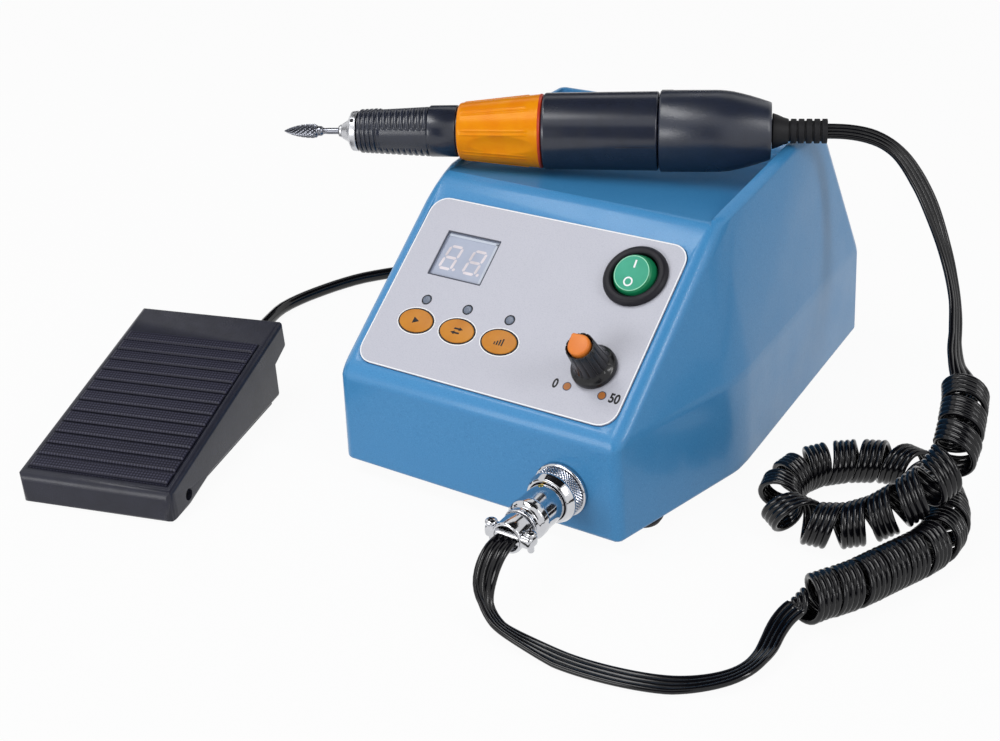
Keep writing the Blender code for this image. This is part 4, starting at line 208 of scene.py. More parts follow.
def pale_floor():
    """White paper that takes shadows and glows towards the camera and in reflections."""
    material = new_material("floor_paper", {"Base Color": (0.62, 0.62, 0.63, 1),
                                            "Roughness": 0.9, "Specular IOR Level": 0.0})
    tree = material.node_tree
    glow = add_node(tree, "Emission", {"Strength": 1.0})
    ray = add_node(tree, "LightPath").outputs
    seen = either(tree, ray["Is Camera Ray"], ray["Is Glossy Ray"])
    share = add_node(tree, "MapRange", {"Value": seen, "To Max": 0.95})
    mix = add_node(tree, "MixShader", {0: share.outputs[0], 2: glow.outputs[0],
                                       1: tree.nodes["Principled BSDF"].outputs[0]})
    fill(tree, tree.nodes["Material Output"], {"Surface": mix.outputs[0]})
    stage_sheet("floor", (12000, 12000), shift(), material)


# Finishes
def linear(levels):
    """A colour given in levels of 0 to 255, as a shader takes it."""
    shares = [level / 255 for level in levels]
    return (*(share / 12.92 if share <= 0.04045 else ((share + 0.055) / 1.055) ** 2.4
              for share in shares), 1)


class Finish:
    """One shader, and the nodes that vary it over a piece."""

    def __init__(self, name, colour, roughness, metallic=0.0, extra=()):
        self.colour = linear(colour)
        self.material = new_material(name, {"Base Color": self.colour, "Roughness": roughness,
                                            "Metallic": metallic, **dict(extra)})
        self.tree = self.material.node_tree
        self.shader = self.tree.nodes["Principled BSDF"]
        self.normal = None
        self.coords = self.add("TexCoord").outputs["Object"]

    def add(self, kind, inputs=(), **settings):
        return add_node(self.tree, kind, inputs, **settings)

    def lie(self, scale=(1, 1, 1), place=None):
        """Coordinates in the frame of an assembly, scaled along its axes."""
        source = self.coords
        if place is not None:
            home = place.inverted()
            source = self.add("Mapping", {"Vector": source, "Rotation": home.to_euler(),
                                          "Location": home.translation}).outputs[0]
        return self.add("Mapping", {"Vector": source, "Scale": scale}).outputs[0]

    def grain(self, size, detail=2.0, stretch=(1, 1, 1), place=None):
        """Noise with spots of about a size, longer along the axes that are stretched."""
        scale = [1 / (size * MM * share) for share in stretch]
        return self.add("TexNoise", {"Vector": self.lie(scale, place), "Scale": 1.0,
                                     "Detail": detail}).outputs["Fac"]

    def bands(self, pitch, axis, place):
        """Even bands across one axis of an assembly."""
        wave = self.add("TexWave", {"Vector": self.lie((1, 1, 1), place),
                                    "Scale": math.pi / (10 * pitch * MM)},
                        wave_type="BANDS", bands_direction=axis, wave_profile="SIN")
        return wave.outputs["Fac"]

    def span(self, pattern, low, high, start=0.0, end=1.0):
        return self.add("MapRange", {"Value": pattern, "From Min": low, "From Max": high,
                                     "To Min": start, "To Max": end}).outputs[0]

    def tint(self, pattern, low, high, colour):
        """Turn towards a second colour where the pattern rises from low to high."""
        mix = self.add("Mix", {0: self.span(pattern, low, high), 6: self.colour,
                               7: linear(colour)}, data_type="RGBA")
        self.colour = mix.outputs[2]
        fill(self.tree, self.shader, {"Base Color": self.colour})
        return self

    def polish(self, pattern, start, end):
        """Roughness that wanders with the pattern."""
        fill(self.tree, self.shader, {"Roughness": self.span(pattern, 0.3, 0.7, start, end)})

    def relief(self, pattern, depth):
        """Fine height on the surface."""
        inputs = {"Height": pattern, "Distance": depth * MM, "Strength": 1.0}
        if self.normal is not None:
            inputs["Normal"] = self.normal
        self.normal = self.add("Bump", inputs).outputs[0]
        fill(self.tree, self.shader, {"Normal": self.normal})


def moulded(name, colour, roughness, grain, depth, sheen=0.5, shade=None, glint=(1, 1, 1, 1)):
    """Moulded plastic or rubber with a fine grain and slightly uneven gloss."""
    finish = Finish(name, colour, roughness, 0.0, {"Specular IOR Level": sheen,
                                                   "Specular Tint": glint})
    finish.relief(finish.grain(grain), depth)
    finish.polish(finish.grain(12, 3.0), roughness * 0.88, roughness * 1.12)
    return finish.tint(finish.grain(6, 3.0), 0.35, 0.85,
                       shade or [level * 0.82 for level in colour])


def metal(name, colour, roughness, scratch=0.4, place=None, stretch=(1, 1, 1), depth=0.004):
    """Metal with fine tool marks."""
    finish = Finish(name, colour, roughness, 1.0)
    finish.relief(finish.grain(scratch, 3.0, stretch, place), depth)
    finish.polish(finish.grain(4), roughness * 0.8, roughness * 1.3)
    return finish.tint(finish.grain(9), 0.35, 0.8, [level * 0.9 for level in colour])


def painted(name):
    """Satin blue paint with a fine orange peel and faint specks."""
    finish = Finish(name, (64, 137, 191), 0.34, 0.0,
                    {"Specular IOR Level": 0.32, "Coat Weight": 0.2, "Coat Roughness": 0.12})
    finish.relief(finish.grain(0.6), 0.02)
    finish.relief(finish.grain(3.0), 0.04)
    finish.polish(finish.grain(15, 3.0), 0.30, 0.38)
    finish.tint(finish.grain(0.40, 1.0), 0.52, 0.80, (78, 149, 201))
    return finish.tint(finish.grain(0.45, 1.0, (1, 1, 1.3)), 0.54, 0.84, (52, 123, 179))


def label_film(name):
    """Printed polyester film with a fine matt grain."""
    finish = Finish(name, (191, 192, 203), 0.46, 0.0, {"Specular IOR Level": 0.35})
    finish.relief(finish.grain(0.3), 0.01)
    finish.polish(finish.grain(10, 3.0), 0.42, 0.50)
    return finish.tint(finish.grain(0.40, 1.0), 0.45, 0.80, (180, 182, 194))


def gridded_rubber(name):
    """Rubber with a close grid of lighter points, a painted highlight on its raised grid."""
    finish = moulded(name, (34, 34, 47), 0.40, 0.4, 0.03, 0.20)
    # Lighter points along the grid: painted highlight on the grid's raised points.
    rows = [finish.bands(1.21, axis, PEDAL) for axis in "XY"]
    both = finish.add("Math", dict(enumerate(rows)), operation="MULTIPLY").outputs[0]
    return finish.tint(both, 0.15, 0.60, (66, 66, 82))


# Colour, roughness, size and depth of the grain, sheen, second shade, tint of the sheen
MOULDED = {
    "black_plastic": ((28, 30, 36), 0.40, 0.5, 0.03, 0.28),
    "satin_black": ((33, 38, 53), 0.25, 0.4, 0.008, 0.62),
    "grained_black": ((34, 40, 56), 0.30, 0.6, 0.04, 0.62),
    "gloss_black": ((18, 18, 22), 0.22, 0.5, 0.01, 0.40),
    "cord_black": ((9, 9, 14), 0.15, 1.0, 0.003, 0.38),
    "soft_rubber": ((22, 22, 25), 0.60, 0.5, 0.04, 0.28),
    "bezel_black": ((36, 35, 41), 0.42, 0.6, 0.03, 0.16),
    "pedal_plastic": ((41, 42, 54), 0.30, 0.7, 0.04, 0.30),
    "amber_plastic": ((234, 144, 8), 0.24, 0.6, 0.01, 0.30, (226, 122, 6), (1.0, 0.72, 0.30, 1)),
    # Red of the band at the lock ring's rear edge: painted shade.
    "edge_shade_red": ((206, 58, 18), 0.35, 0.4, 0.01),
    "knob_orange": ((228, 132, 54), 0.36, 0.6, 0.03, 0.28, (214, 112, 40)),
    "ochre_key": ((198, 130, 40), 0.42, 0.3, 0.03, 0.28, (184, 114, 32)),
    # Black for print and small dark rings, and as painted shade in screw recesses, the fuse cap's
    # slot and the nose's tool hole.
    "print_and_shade_black": ((16, 16, 20), 0.45, 0.3, 0.01, 0.28),
    "print_white": ((240, 241, 243), 0.45, 0.3, 0.01, 0.5, (232, 234, 238)),
    # Dark blue-grey for the printed rims of the scale dots, and as painted shadow round the
    # display's rim.
    "print_and_shadow_grey": ((58, 64, 82), 0.45, 0.3, 0.01),
    # Darker copy of the rocker's green: painted shade on the cap's sides.
    "painted_shade_green": ((22, 128, 84), 0.24, 0.4, 0.01, 0.30, (30, 140, 94)),
    # Pale mint of the ring round the rocker's face.
    "mint_rim": ((146, 220, 186), 0.40, 0.3, 0.01),
    "print_ochre": ((186, 110, 32), 0.45, 0.3, 0.01),
    "window_grey": ((163, 171, 191), 0.32, 0.4, 0.02, 0.5, (154, 162, 183)),
    # Pale grey of the display's lips: painted reflection.
    "lip_reflection_grey": ((188, 196, 210), 0.32, 0.4, 0.02, 0.5, (180, 188, 203)),
    "segment_grey": ((222, 214, 220), 0.40, 0.3, 0.01),
    "lamp_grey": ((100, 110, 128), 0.30, 0.3, 0.01, 0.5, (94, 104, 122)),
    "switch_green": ((58, 160, 130), 0.24, 0.4, 0.01, 0.35, (72, 174, 144)),
    "board_green": ((30, 96, 60), 0.40, 0.8, 0.04, 0.5, (46, 124, 82)),
}
# Colour, roughness, size of the tool marks, and where and how far they are drawn out
METALS = {
    "chrome": ((206, 207, 211), 0.09, 1.0),
    "knurl_chrome": ((180, 182, 190), 0.20, 0.6),
    "turned_steel": ((204, 205, 209), 0.32, 0.15, HAND, (40, 40, 1), 0.006),
    "carbide": ((134, 136, 144), 0.20, 0.3),
    "brass": ((214, 178, 84), 0.25),
    "dark_steel": ((60, 61, 66), 0.35),
    "spring_steel": ((150, 152, 156), 0.35),
    "copper_winding": ((188, 110, 62), 0.35),
    "magnet_iron": ((84, 86, 92), 0.45),
    "sheet_steel": ((122, 124, 128), 0.45, 0.6),
}
FINISHES = {name: moulded(name, *row) for name, row in MOULDED.items()}
FINISHES.update({name: metal(name, *row) for name, row in METALS.items()})
FINISHES.update({name: make(name) for name, make in (
    ("blue_paint", painted), ("label_film", label_film), ("mat_rubber", gridded_rubber))})


# Shapes
def eased(profile, radius, steps):
    """Round the corners of a profile of (height, radius) pairs."""
    nearly_straight = math.radians(172)
    points = [Vector(pair) for pair in profile]
    rounded = [profile[0]]
    for before, corner, after in zip(points, points[1:], points[2:]):
        into, out = before - corner, after - corner
        reach = min(radius, into.length * 0.45, out.length * 0.45)
        if corner.y == 0 or reach < 0.001 or into.angle(out) > nearly_straight:
            rounded.append(tuple(corner))
            continue
        start, end = corner + into.normalized() * reach, corner + out.normalized() * reach
        for share in (step / steps for step in range(steps + 1)):
            rounded.append(tuple(start * (1 - share) ** 2 + corner * 2 * share * (1 - share)
                                 + end * share ** 2))
    return rounded + [profile[-1]]


def turned(outside, ease=0, steps=96, inside=(), rounds=3):
    """(Height, radius) pairs turned round the upright axis.

    The shape closes on the axis, or round a bore where pairs for its inside are given.
    """
    if inside:
        profile = [*outside, *reversed(inside), outside[0]]
    else:
        profile = [(outside[0][0], 0), *outside, (outside[-1][0], 0)]
    if ease:
        profile = eased(profile, ease, rounds)
    bm = bmesh.new()
    verts = [bm.verts.new((radius * MM, 0, height * MM)) for height, radius in profile]
    edges = [bm.edges.new(pair) for pair in zip(verts, verts[1:])]
    bmesh.ops.spin(bm, geom=verts + edges, cent=(0, 0, 0), axis=(0, 0, 1), angle=FULL_TURN,
                   steps=steps, use_merge=True)
    bmesh.ops.remove_doubles(bm, verts=bm.verts[:], dist=1e-6)
    bmesh.ops.recalc_face_normals(bm, faces=bm.faces[:])
    return bm


def rings(start, pitch, count, steps):
    """Steps of (height, radius, loss of radius per ring), ring after ring."""
    return [(start + index * pitch + height, radius - index * loss)
            for index in range(count) for height, radius, loss in steps]


def carved(bm, share_at):
    """Moves each point to a share of its radius, told from its height, radius and angle."""
    for vert in bm.verts:
        angle = math.degrees(math.atan2(vert.co.y, vert.co.x))
        share = share_at(vert.co.z / MM, math.hypot(vert.co.x, vert.co.y) / MM, angle)
        vert.co.x *= share
        vert.co.y *= share
    return bm


def raised(bm, thickness):
    """A flat shape made a plate."""
    grown = bmesh.ops.extrude_face_region(bm, geom=bm.faces[:])["geom"]
    verts = [item for item in grown if isinstance(item, bmesh.types.BMVert)]
    bmesh.ops.translate(bm, vec=point(z=thickness), verts=verts)
    bmesh.ops.recalc_face_normals(bm, faces=bm.faces[:])
    return bm


def slab(outline, thickness, low=0.0):
    """A plate over an outline of (x, y) points."""
    bm = bmesh.new()
    bm.faces.new([bm.verts.new(point(x, y, low)) for x, y in outline])
    return raised(bm, thickness)


def rounded_rectangle(width, height, corner=0, segments=8):
    bm = flat_grid(width, height)
    if corner:
        bmesh.ops.bevel(bm, geom=bm.verts[:], offset=corner * MM, segments=segments, profile=0.5,
                        affect="VERTICES", material=-1)
    return bm


def flat_oval(half_width, half_length, low=0.0, steps=48):
    bm = bmesh.new()
    bmesh.ops.create_circle(bm, cap_ends=True, segments=steps, radius=1.0)
    bmesh.ops.scale(bm, vec=point(half_width, half_length, 1), verts=bm.verts[:])
    bmesh.ops.translate(bm, vec=point(z=low), verts=bm.verts[:])
    return bm


def hollowed(bm, band):
    """Keep only a band along the edge of a flat shape."""
    faces = bm.faces[:]
    bmesh.ops.inset_region(bm, faces=faces, thickness=band * MM, use_even_offset=True,
                           use_boundary=True)
    bmesh.ops.delete(bm, geom=faces, context="FACES")
    return bm


def box(size, centre=(0, 0, 0), rounding=0.0, segments=2):
    bm = bmesh.new()
    bmesh.ops.create_cube(bm, size=1.0)
    bmesh.ops.scale(bm, vec=point(*size), verts=bm.verts[:])
    if rounding:
        bmesh.ops.bevel(bm, geom=bm.edges[:], offset=rounding * MM, segments=segments,
                        profile=0.5, affect="EDGES", clamp_overlap=True, material=-1)
    bmesh.ops.translate(bm, vec=point(*centre), verts=bm.verts[:])
    return bm


def joined(*shapes):
    """Several closed shapes as one mesh, each given with its place."""
    whole = bmesh.new()
    for bm, place in shapes:
        bm.transform(place)
        part = as_mesh("part", bm)
        whole.from_mesh(part)
        bpy.data.meshes.remove(part)
    return whole


def piece(name, bm, finish, body, place=None, sharp=38):
    """A finished shape as a piece that moves with a body."""
    if place is not None:
        bm.transform(place)
    mesh = as_mesh(name, bm)
    mesh.shade_smooth()
    mesh.set_sharp_from_angle(angle=math.radians(sharp))
    mesh.materials.append(FINISHES[finish].material)
    made = linked(name, mesh)
    if body:
        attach(made, body)
    return made


def stand_in(name, bm, finish, node, place=None, sharp=38):
    """A finer piece in the place of a solid."""
    made = piece(name, bm, finish, BODY_OF[node], place, sharp)
    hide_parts(node)
    return made


def screw(kind, tag, radius, height, finish, place, depth, lift, spin):
    """A pan-head screw on its frame's floor, and a dark cross in its head as painted shade of its
    recess.
    """
    head = [(0, radius), (height * 0.45, radius), (height * 0.85, radius * 0.78),
            (height, radius * 0.45)]
    piece(f"{kind}_screw_{tag}", turned(head, radius * 0.15, 24), finish, "unit", place)
    # A black cross for the recess: painted shade, the recess is not cut.
    arms = [(box((radius * 1.1, radius * 0.26, depth)), turn(angle, "Z")) for angle in (0, 90)]
    piece(f"{kind}_recess_shadow_{tag}", joined(*arms), "print_and_shade_black", "unit",
          place @ shift(0, 0, lift) @ turn(spin, "Z"))


# Control panel
KEY_TOP = OVERLAY_TOP + 0.4
KEY_ROW = 25.1
KEY_PITCH = 17.5
LAMP_ROW = 33.9
INK = 0.04


def print_on_label(name, bm, finish, u, s):
    """Print at u across the panel and s up its slope."""
    return piece(name, bm, finish, "unit", PANEL @ shift(u, s, OVERLAY_TOP))


def number(name, words, u, s):
    """Plain numerals printed on the label."""
    text = bpy.data.curves.new(name, "FONT")
    text.body = words
    text.align_x, text.align_y = "CENTER", "CENTER"
    text.size, text.extrude, text.offset = 4.6 * MM, 0.03 * MM, 0.16 * MM
    holder = linked(name, text)
    bpy.context.view_layer.update()
    shape = holder.evaluated_get(bpy.context.evaluated_depsgraph_get())
    mesh = bpy.data.meshes.new_from_object(shape)
    bpy.data.objects.remove(holder)
    bm = bmesh.new()
    bm.from_mesh(mesh)
    bpy.data.meshes.remove(mesh)
    bmesh.ops.remove_doubles(bm, verts=bm.verts[:], dist=1e-7)
    bmesh.ops.scale(bm, vec=(0.84, 1, 1), verts=bm.verts[:])
    print_on_label(name, bm, "print_and_shade_black", u, s)


def label_print():
    """Edge line, scale dots and numerals of the label."""
    edge = hollowed(rounded_rectangle(104.4, 69.4, 6.5), 0.45)
    print_on_label("label_edge", raised(edge, INK), "print_white", 0, 40.3)
    for tag, u in (("low", 30.9), ("high", 44.1)):
        for name, finish, radius, top in (("rim", "print_and_shadow_grey", 1.58, 0.03),
                                          ("dot", "print_ochre", 1.26, 0.06)):
            print_on_label(f"scale_{name}_{tag}", raised(flat_oval(radius, radius, 0, 32), top),
                           finish, u, 16.0)
    number("scale_number_low", "0", 26.4, 15.9)
    number("scale_number_high", "50", 48.8, 15.9)


def arrow():
    """A slim arrow that points along x."""
    reach, half = 2.0, 0.8
    head = half * 2.2
    return slab([(-reach, -half * 0.45), (reach - head, -half * 0.45), (reach - head, -half),
                 (reach, 0), (reach - head, half), (reach - head, half * 0.45),
                 (-reach, half * 0.45)], INK)


def key_signs():
    """A generic sign on each key in the place of its word."""
    start = slab([(-1.2, -1.4), (1.6, 0), (-1.2, 1.4)], INK)
    ways = joined((arrow(), shift(0.5, 0.9)), (arrow(), shift(-0.5, -0.9) @ turn(180, "Z")))
    bars = joined(*((box((0.6, height, INK)), shift(x, (height - 3.0) / 2, INK / 2))
                    for x, height in ((-1.6, 1.2), (-0.5, 1.8), (0.6, 2.4), (1.7, 3.0))))
    return start, ways, bars


def keys():
    """Oval keys with a printed rim, each on its own flange and stem, and their lamps."""
    outline = [(-4.9, 1.8), (-3.8, 1.8), (-3.8, 8.5), (-2.8, 8.5), (-2.8, 6.8), (KEY_TOP, 6.8)]
    for index, (name, sign) in enumerate(zip(("start_key", "direction_key", "mode_key"),
                                             key_signs())):
        u = -35.3 + index * KEY_PITCH
        place = PANEL @ shift(u, KEY_ROW)
        cap = turned(outline, 0.3, 72)
        bmesh.ops.scale(cap, vec=(1, 10.0 / 15.2, 1), verts=cap.verts[:])
        stand_in(name + "_cap", cap, "ochre_key", name, place)
        for tag, finish, half, band in (("outline", "print_and_shade_black", 7.45, 0.80),
                                        ("halo", "print_white", 7.80, 0.35)):
            ring = hollowed(flat_oval(half, half - 2.4, 0, 96), band)
            print_on_label(f"{name}_{tag}", raised(ring, INK), finish, u, KEY_ROW)
        piece(name + "_sign", sign, "print_and_shade_black", BODY_OF[name],
              place @ shift(0, 0, KEY_TOP) @ Matrix.Scale(0.9, 4))
        lens = turned([(-4.1, 1.6), (0.55, 1.6), (0.80, 1.3)], 0.2, 32)
        stand_in(f"lamp_lens_{index + 1}", lens, "lamp_grey", f"indicator_lamp_{index + 1}",
                 PANEL @ shift(u, LAMP_ROW))
        seat = hollowed(flat_oval(2.0, 2.0, 0, 32), 0.36)
        print_on_label(f"lamp_seat_{index + 1}", raised(seat, INK), "print_and_shade_black", u, LAMP_ROW)


def digit_bars():
    """The seven unlit bars and the point of one slanted digit."""
    wide, high, half, thickness = 5.0, 9.2, 0.54, 0.06
    lying = [(0, high / 2, 0), (0, 0, 0), (0, -high / 2, 0)]
    standing = [(side * wide / 2, level * high / 4, 90) for level in (1, -1) for side in (-1, 1)]
    bars = []
    for x, y, spin in lying + standing:
        reach = (high / 2 if spin else wide) / 2 - half * 0.44
        bar = slab([(-reach, 0), (half - reach, -half), (reach - half, -half), (reach, 0),
                    (reach - half, half), (half - reach, half)], thickness)
        bars.append((bar, shift(x, y) @ turn(spin, "Z")))
    dot = raised(flat_oval(half * 1.1, half * 1.1, 0, 16), thickness)
    bm = joined(*bars, (dot, shift(wide / 2 + 1.3, 0.2 - high / 2)))
    lean = math.tan(math.radians(7))
    bm.transform(Matrix(((1, lean, 0, 0), (0, 1, 0, 0), (0, 0, 1, 0), (0, 0, 0, 1))))
    return bm


def display():
    """Sunk window with two digits, a painted reflection on two lips and a painted shadow round its
    rim.
    """
    place, depth = PANEL @ shift(-29.0, 53.0, 0.1), 0.5
    tray = box((22.2, 18.0, 1.6), (0, 0, -0.8))
    top = max(tray.faces, key=lambda face: face.calc_center_median().z)
    bmesh.ops.inset_region(tray, faces=[top], thickness=0.35 * MM)
    bmesh.ops.translate(tray, vec=point(z=-depth), verts=top.verts)
    stand_in("display_tray", tray, "window_grey", "display_window", place, 20)
    for tag, u in (("left", -5.7), ("right", 4.5)):
        piece("digit_" + tag, digit_bars(), "segment_grey", "unit",
              place @ shift(u, -0.8, -depth))
    # Pale strips on the top and right inner lips of the window: painted reflection.
    reflection_lip_top = box((21.4, 1.0, 0.3), (0, 8.0, -depth))
    reflection_lip_side = box((1.0, 16.6, 0.3), (10.0, -0.2, -depth))
    # A dark band round the window's rim: painted shadow of the recess.
    edge = raised(hollowed(rounded_rectangle(22.6, 18.4), 0.45), 0.3)
    for tag, bm, finish in (("reflection_lip_top", reflection_lip_top, "lip_reflection_grey"),
                            ("reflection_lip_side", reflection_lip_side, "lip_reflection_grey"), ("edge", edge, "print_and_shadow_grey")):
        piece("display_" + tag, bm, finish, "unit", place)


def rocker_switch():
    """Round bezel and the green rocker in it, marked I and O, its sides in a darker green as
    painted shade.
    """
    place = PANEL @ shift(37.4, 60.0)
    seat = OVERLAY_TOP + 0.05
    bezel = [(-14.0, 10.0), (0.2, 10.0), (seat, 11.5), (seat + 1.1, 11.5), (seat + 2.2, 10.4),
             (seat + 2.2, 8.8), (seat + 1.7, 8.2), (seat + 1.0, 8.2), (seat + 0.3, 8.7),
             (-11.0, 8.7)]
    stand_in("rocker_ring", turned(bezel, 0.5, rounds=4), "bezel_black", "rocker_bezel", place)
    tilt = place @ turn(10, "X")
    top = 4.6
    cap = turned([(-2.8, 7.8), (1.0, 7.8), (4.0, 6.8), (top, 6.1)], 0.5, rounds=4)
    # The cap's sides take a darker green than its face: painted shade.
    stand_in("rocker_cap", cap, "painted_shade_green", "rocker_button", tilt)
    face = raised(flat_oval(6.0, 6.0, top - 0.05, 64), 0.07)
    # A pale mint ring round the edge of the rocker's face.
    edge = raised(hollowed(flat_oval(6.3, 6.3, top - 0.04, 64), 0.34), 0.06)
    mark_on = box((0.65, 2.8, 0.1), (0.2, 3.4, top + 0.02))
    mark_off = raised(hollowed(flat_oval(1.7, 1.7, top - 0.03), 0.55), 0.12)
    bmesh.ops.translate(mark_off, vec=point(-0.2, -3.1), verts=mark_off.verts[:])
    for tag, bm, finish in (("face", face, "switch_green"), ("edge", edge, "mint_rim"),
                            ("mark_on", mark_on, "print_white"),
                            ("mark_off", mark_off, "print_white")):
        piece("rocker_" + tag, bm, finish, "rocker", tilt)


def speed_dial():
    """Fluted knob with its orange pointer cap."""
    place = PANEL @ shift(37.6, 24.6) @ turn(138, "Z")
    seat = OVERLAY_TOP + 0.4
    outside = [(13.5, 4.3), (16.0, 4.5), (16.0, 4.9), (13.0, 5.1), (10.0, 5.3), (7.0, 5.6),
               (4.7, 6.0), (3.6, 6.8), (2.8, 7.8), (1.8, 8.0), (seat, 8.0), (seat, 3.3),
               (12.3, 3.3)]

    def fluted(height, radius, angle):
        flutes, low = 14, 3.6
        if height <= low or radius <= 4.6:
            return 1
        groove = max(0.0, math.cos(math.radians(flutes * angle))) ** 5
        return 1 - 0.060 * groove * min(1.0, (height - low) / 1.2)

    stand_in("dial_body", carved(turned(outside, 0.5, 144), fluted), "gloss_black",
             "speed_knob", place, 50)
    radius, reach = 3.8, 5.5
    touch = math.acos(radius / reach)
    outline = [(reach - 0.4, -0.38), (reach - 0.4, 0.38)]
    outline += [(radius * math.cos(angle), radius * math.sin(angle))
                for angle in np.linspace(touch, FULL_TURN - touch, 40)]
    cap = slab(outline, 3.7, 13.6)
    crown = [edge for edge in cap.edges if all(vert.co.z > 16.6 * MM for vert in edge.verts)]
    bmesh.ops.bevel(cap, geom=crown, offset=0.7 * MM, segments=4, profile=0.5, affect="EDGES",
                    clamp_overlap=True, material=-1)
    stand_in("dial_cap", cap, "knob_orange", "knob_cap", place)


# Plug of the handpiece cord
def knurled(height, radius, angle):
    """A diamond knurl."""
    low, high, teeth, rows = 2.0, 5.6, 48, 3
    if radius <= 8.8 or not low - 0.001 <= height <= high + 0.001:
        return 1
    around, rise = angle / 360 * teeth, (height - low) / (high - low) * rows
    ridges = [abs((value + 0.5) % 1.0 - 0.5) * 2 for value in (around + rise, around - rise)]
    return 1 - 0.34 / 9.2 * max(ridges)


def plug():
    """Chrome connector: flange, knurled coupling ring, barrel and cable clamp."""
    flange = [(-12.0, 7.8), (0.1, 7.8), (0.1, 9.8), (1.2, 9.8), (1.5, 9.3), (1.5, 6.6), (7.5, 6.6)]
    stand_in("socket_flange", turned(flange, 0.2), "chrome", "motor_socket", PLUG)
    rows = [(2.0 + step / 10, 9.2) for step in range(37)]
    ring = turned([(1.8, 8.7), *rows, (5.8, 8.8)], 0, 480, [(1.8, 7.2), (5.8, 7.2)])
    stand_in("knurled_ring", carved(ring, knurled), "knurl_chrome", "coupling_ring", PLUG, 50)
    collar = [(5.9, 8.9), (6.1, 9.1), (6.6, 9.1), (8.8, 8.2), (9.2, 7.8)]
    piece("ring_collar", turned(collar, 0.1, inside=[(5.9, 7.2), (9.2, 7.2)]), "chrome",
          BODY_OF["coupling_ring"], PLUG)
    barrel = [(7.8, 6.4), (8.0, 6.9), (15.0, 6.9), (18.6, 6.9), (19.0, 7.2), (21.6, 7.2),
              (22.8, 6.4), (23.2, 5.8), (24.6, 5.8), (25.0, 6.1), (25.8, 6.1)]
    stand_in("barrel", turned(barrel, 0.3), "chrome", "plug_barrel", PLUG)
    piece("barrel_set_screw", turned([(6.4, 1.0), (6.95, 1.0), (7.0, 0.8)], 0, 24), "brass",
          "unit", PLUG @ shift(0, 0, 10.6) @ turn(10, "Z") @ turn(-90, "X"))
    clamp_height = 30.7
    ears = box((18.0, 4.6, 5.3), (0, 0, clamp_height), 1.6, 4)
    tube = turned([(26.1, 5.2), (26.4, 5.6), (33.0, 5.6), (CLAMP_END, 5.2)], 0.2, 64,
                  [(26.1, 4.6), (CLAMP_END, 4.6)])
    stand_in("clamp_saddle", joined((tube, shift()), (ears, shift())), "chrome", "cable_clamp",
             PLUG)
    for tag, side in (("left", -1), ("right", 1)):
        place = PLUG @ shift(side * 7.3, 0, clamp_height) @ turn(-90, "X") @ shift(0, 0, 2.3)
        screw("clamp", tag, 2.1, 1.3, "chrome", place, 0.2, 1.25, 25 * side)
        piece("clamp_screw_end_" + tag, turned([(-6.4, 0.9), (-6.0, 1.1), (-4.0, 1.1)], 0, 20),
              "chrome", "unit", place)


# Handpiece
def sleeve_radius(height):
    return 8.0 + (height - 7.4) / 27.5 * 1.4


def ribbed(start, end, count, groove):
    """Rounded ring ribs between two heights of the tapered sleeve."""
    pitch = (end - start) / count
    rib = [(0.0, 1.0), (0.14, 1.0), (0.24, 0.25), (0.34, 0.0), (0.72, 0.0), (0.82, 0.25),
           (0.92, 1.0)]
    steps = [(part * pitch, depth, 0) for part, depth in rib]
    return [(height, sleeve_radius(height) - groove * depth)
            for height, depth in rings(start, pitch, count, steps)]


def grip_pads(height, radius, angle):
    """Three smooth pads sunk into the ribs."""
    low, high, half, corner, first_pad = 15.6, 34.8, 4.4, 1.0, 274
    if radius < 7.2 or not low < height < high:
        return 1
    away = abs((angle - first_pad + 60) % 120 - 60)
    across = max(0.0, math.radians(away) * radius - half + corner)
    along = max(0.0, abs(height - (low + high) / 2) - (high - low) / 2 + corner)
    inside_pad = min(1.0, max(0.0, (corner - math.hypot(across, along)) / 0.4))
    return 1 + ((sleeve_radius(height) - 0.45) / radius - 1) * inside_pad


def front_sleeve():
    outside = [(7.7, 7.0), *ribbed(8.0, 14.9, 4, 0.5), *ribbed(14.9, 34.7, 9, 0.55),
               (34.9, 9.4), (35.4, 9.45), (44.9, 9.5), (45.2, 9.2), (45.2, 8.8), (79.9, 8.8)]
    bm = turned(outside, 0, 192, [(7.7, 6.6), (79.9, 6.6)])
    stand_in("grip_sleeve", carved(bm, grip_pads), "satin_black", "front_sleeve", HAND, 50)


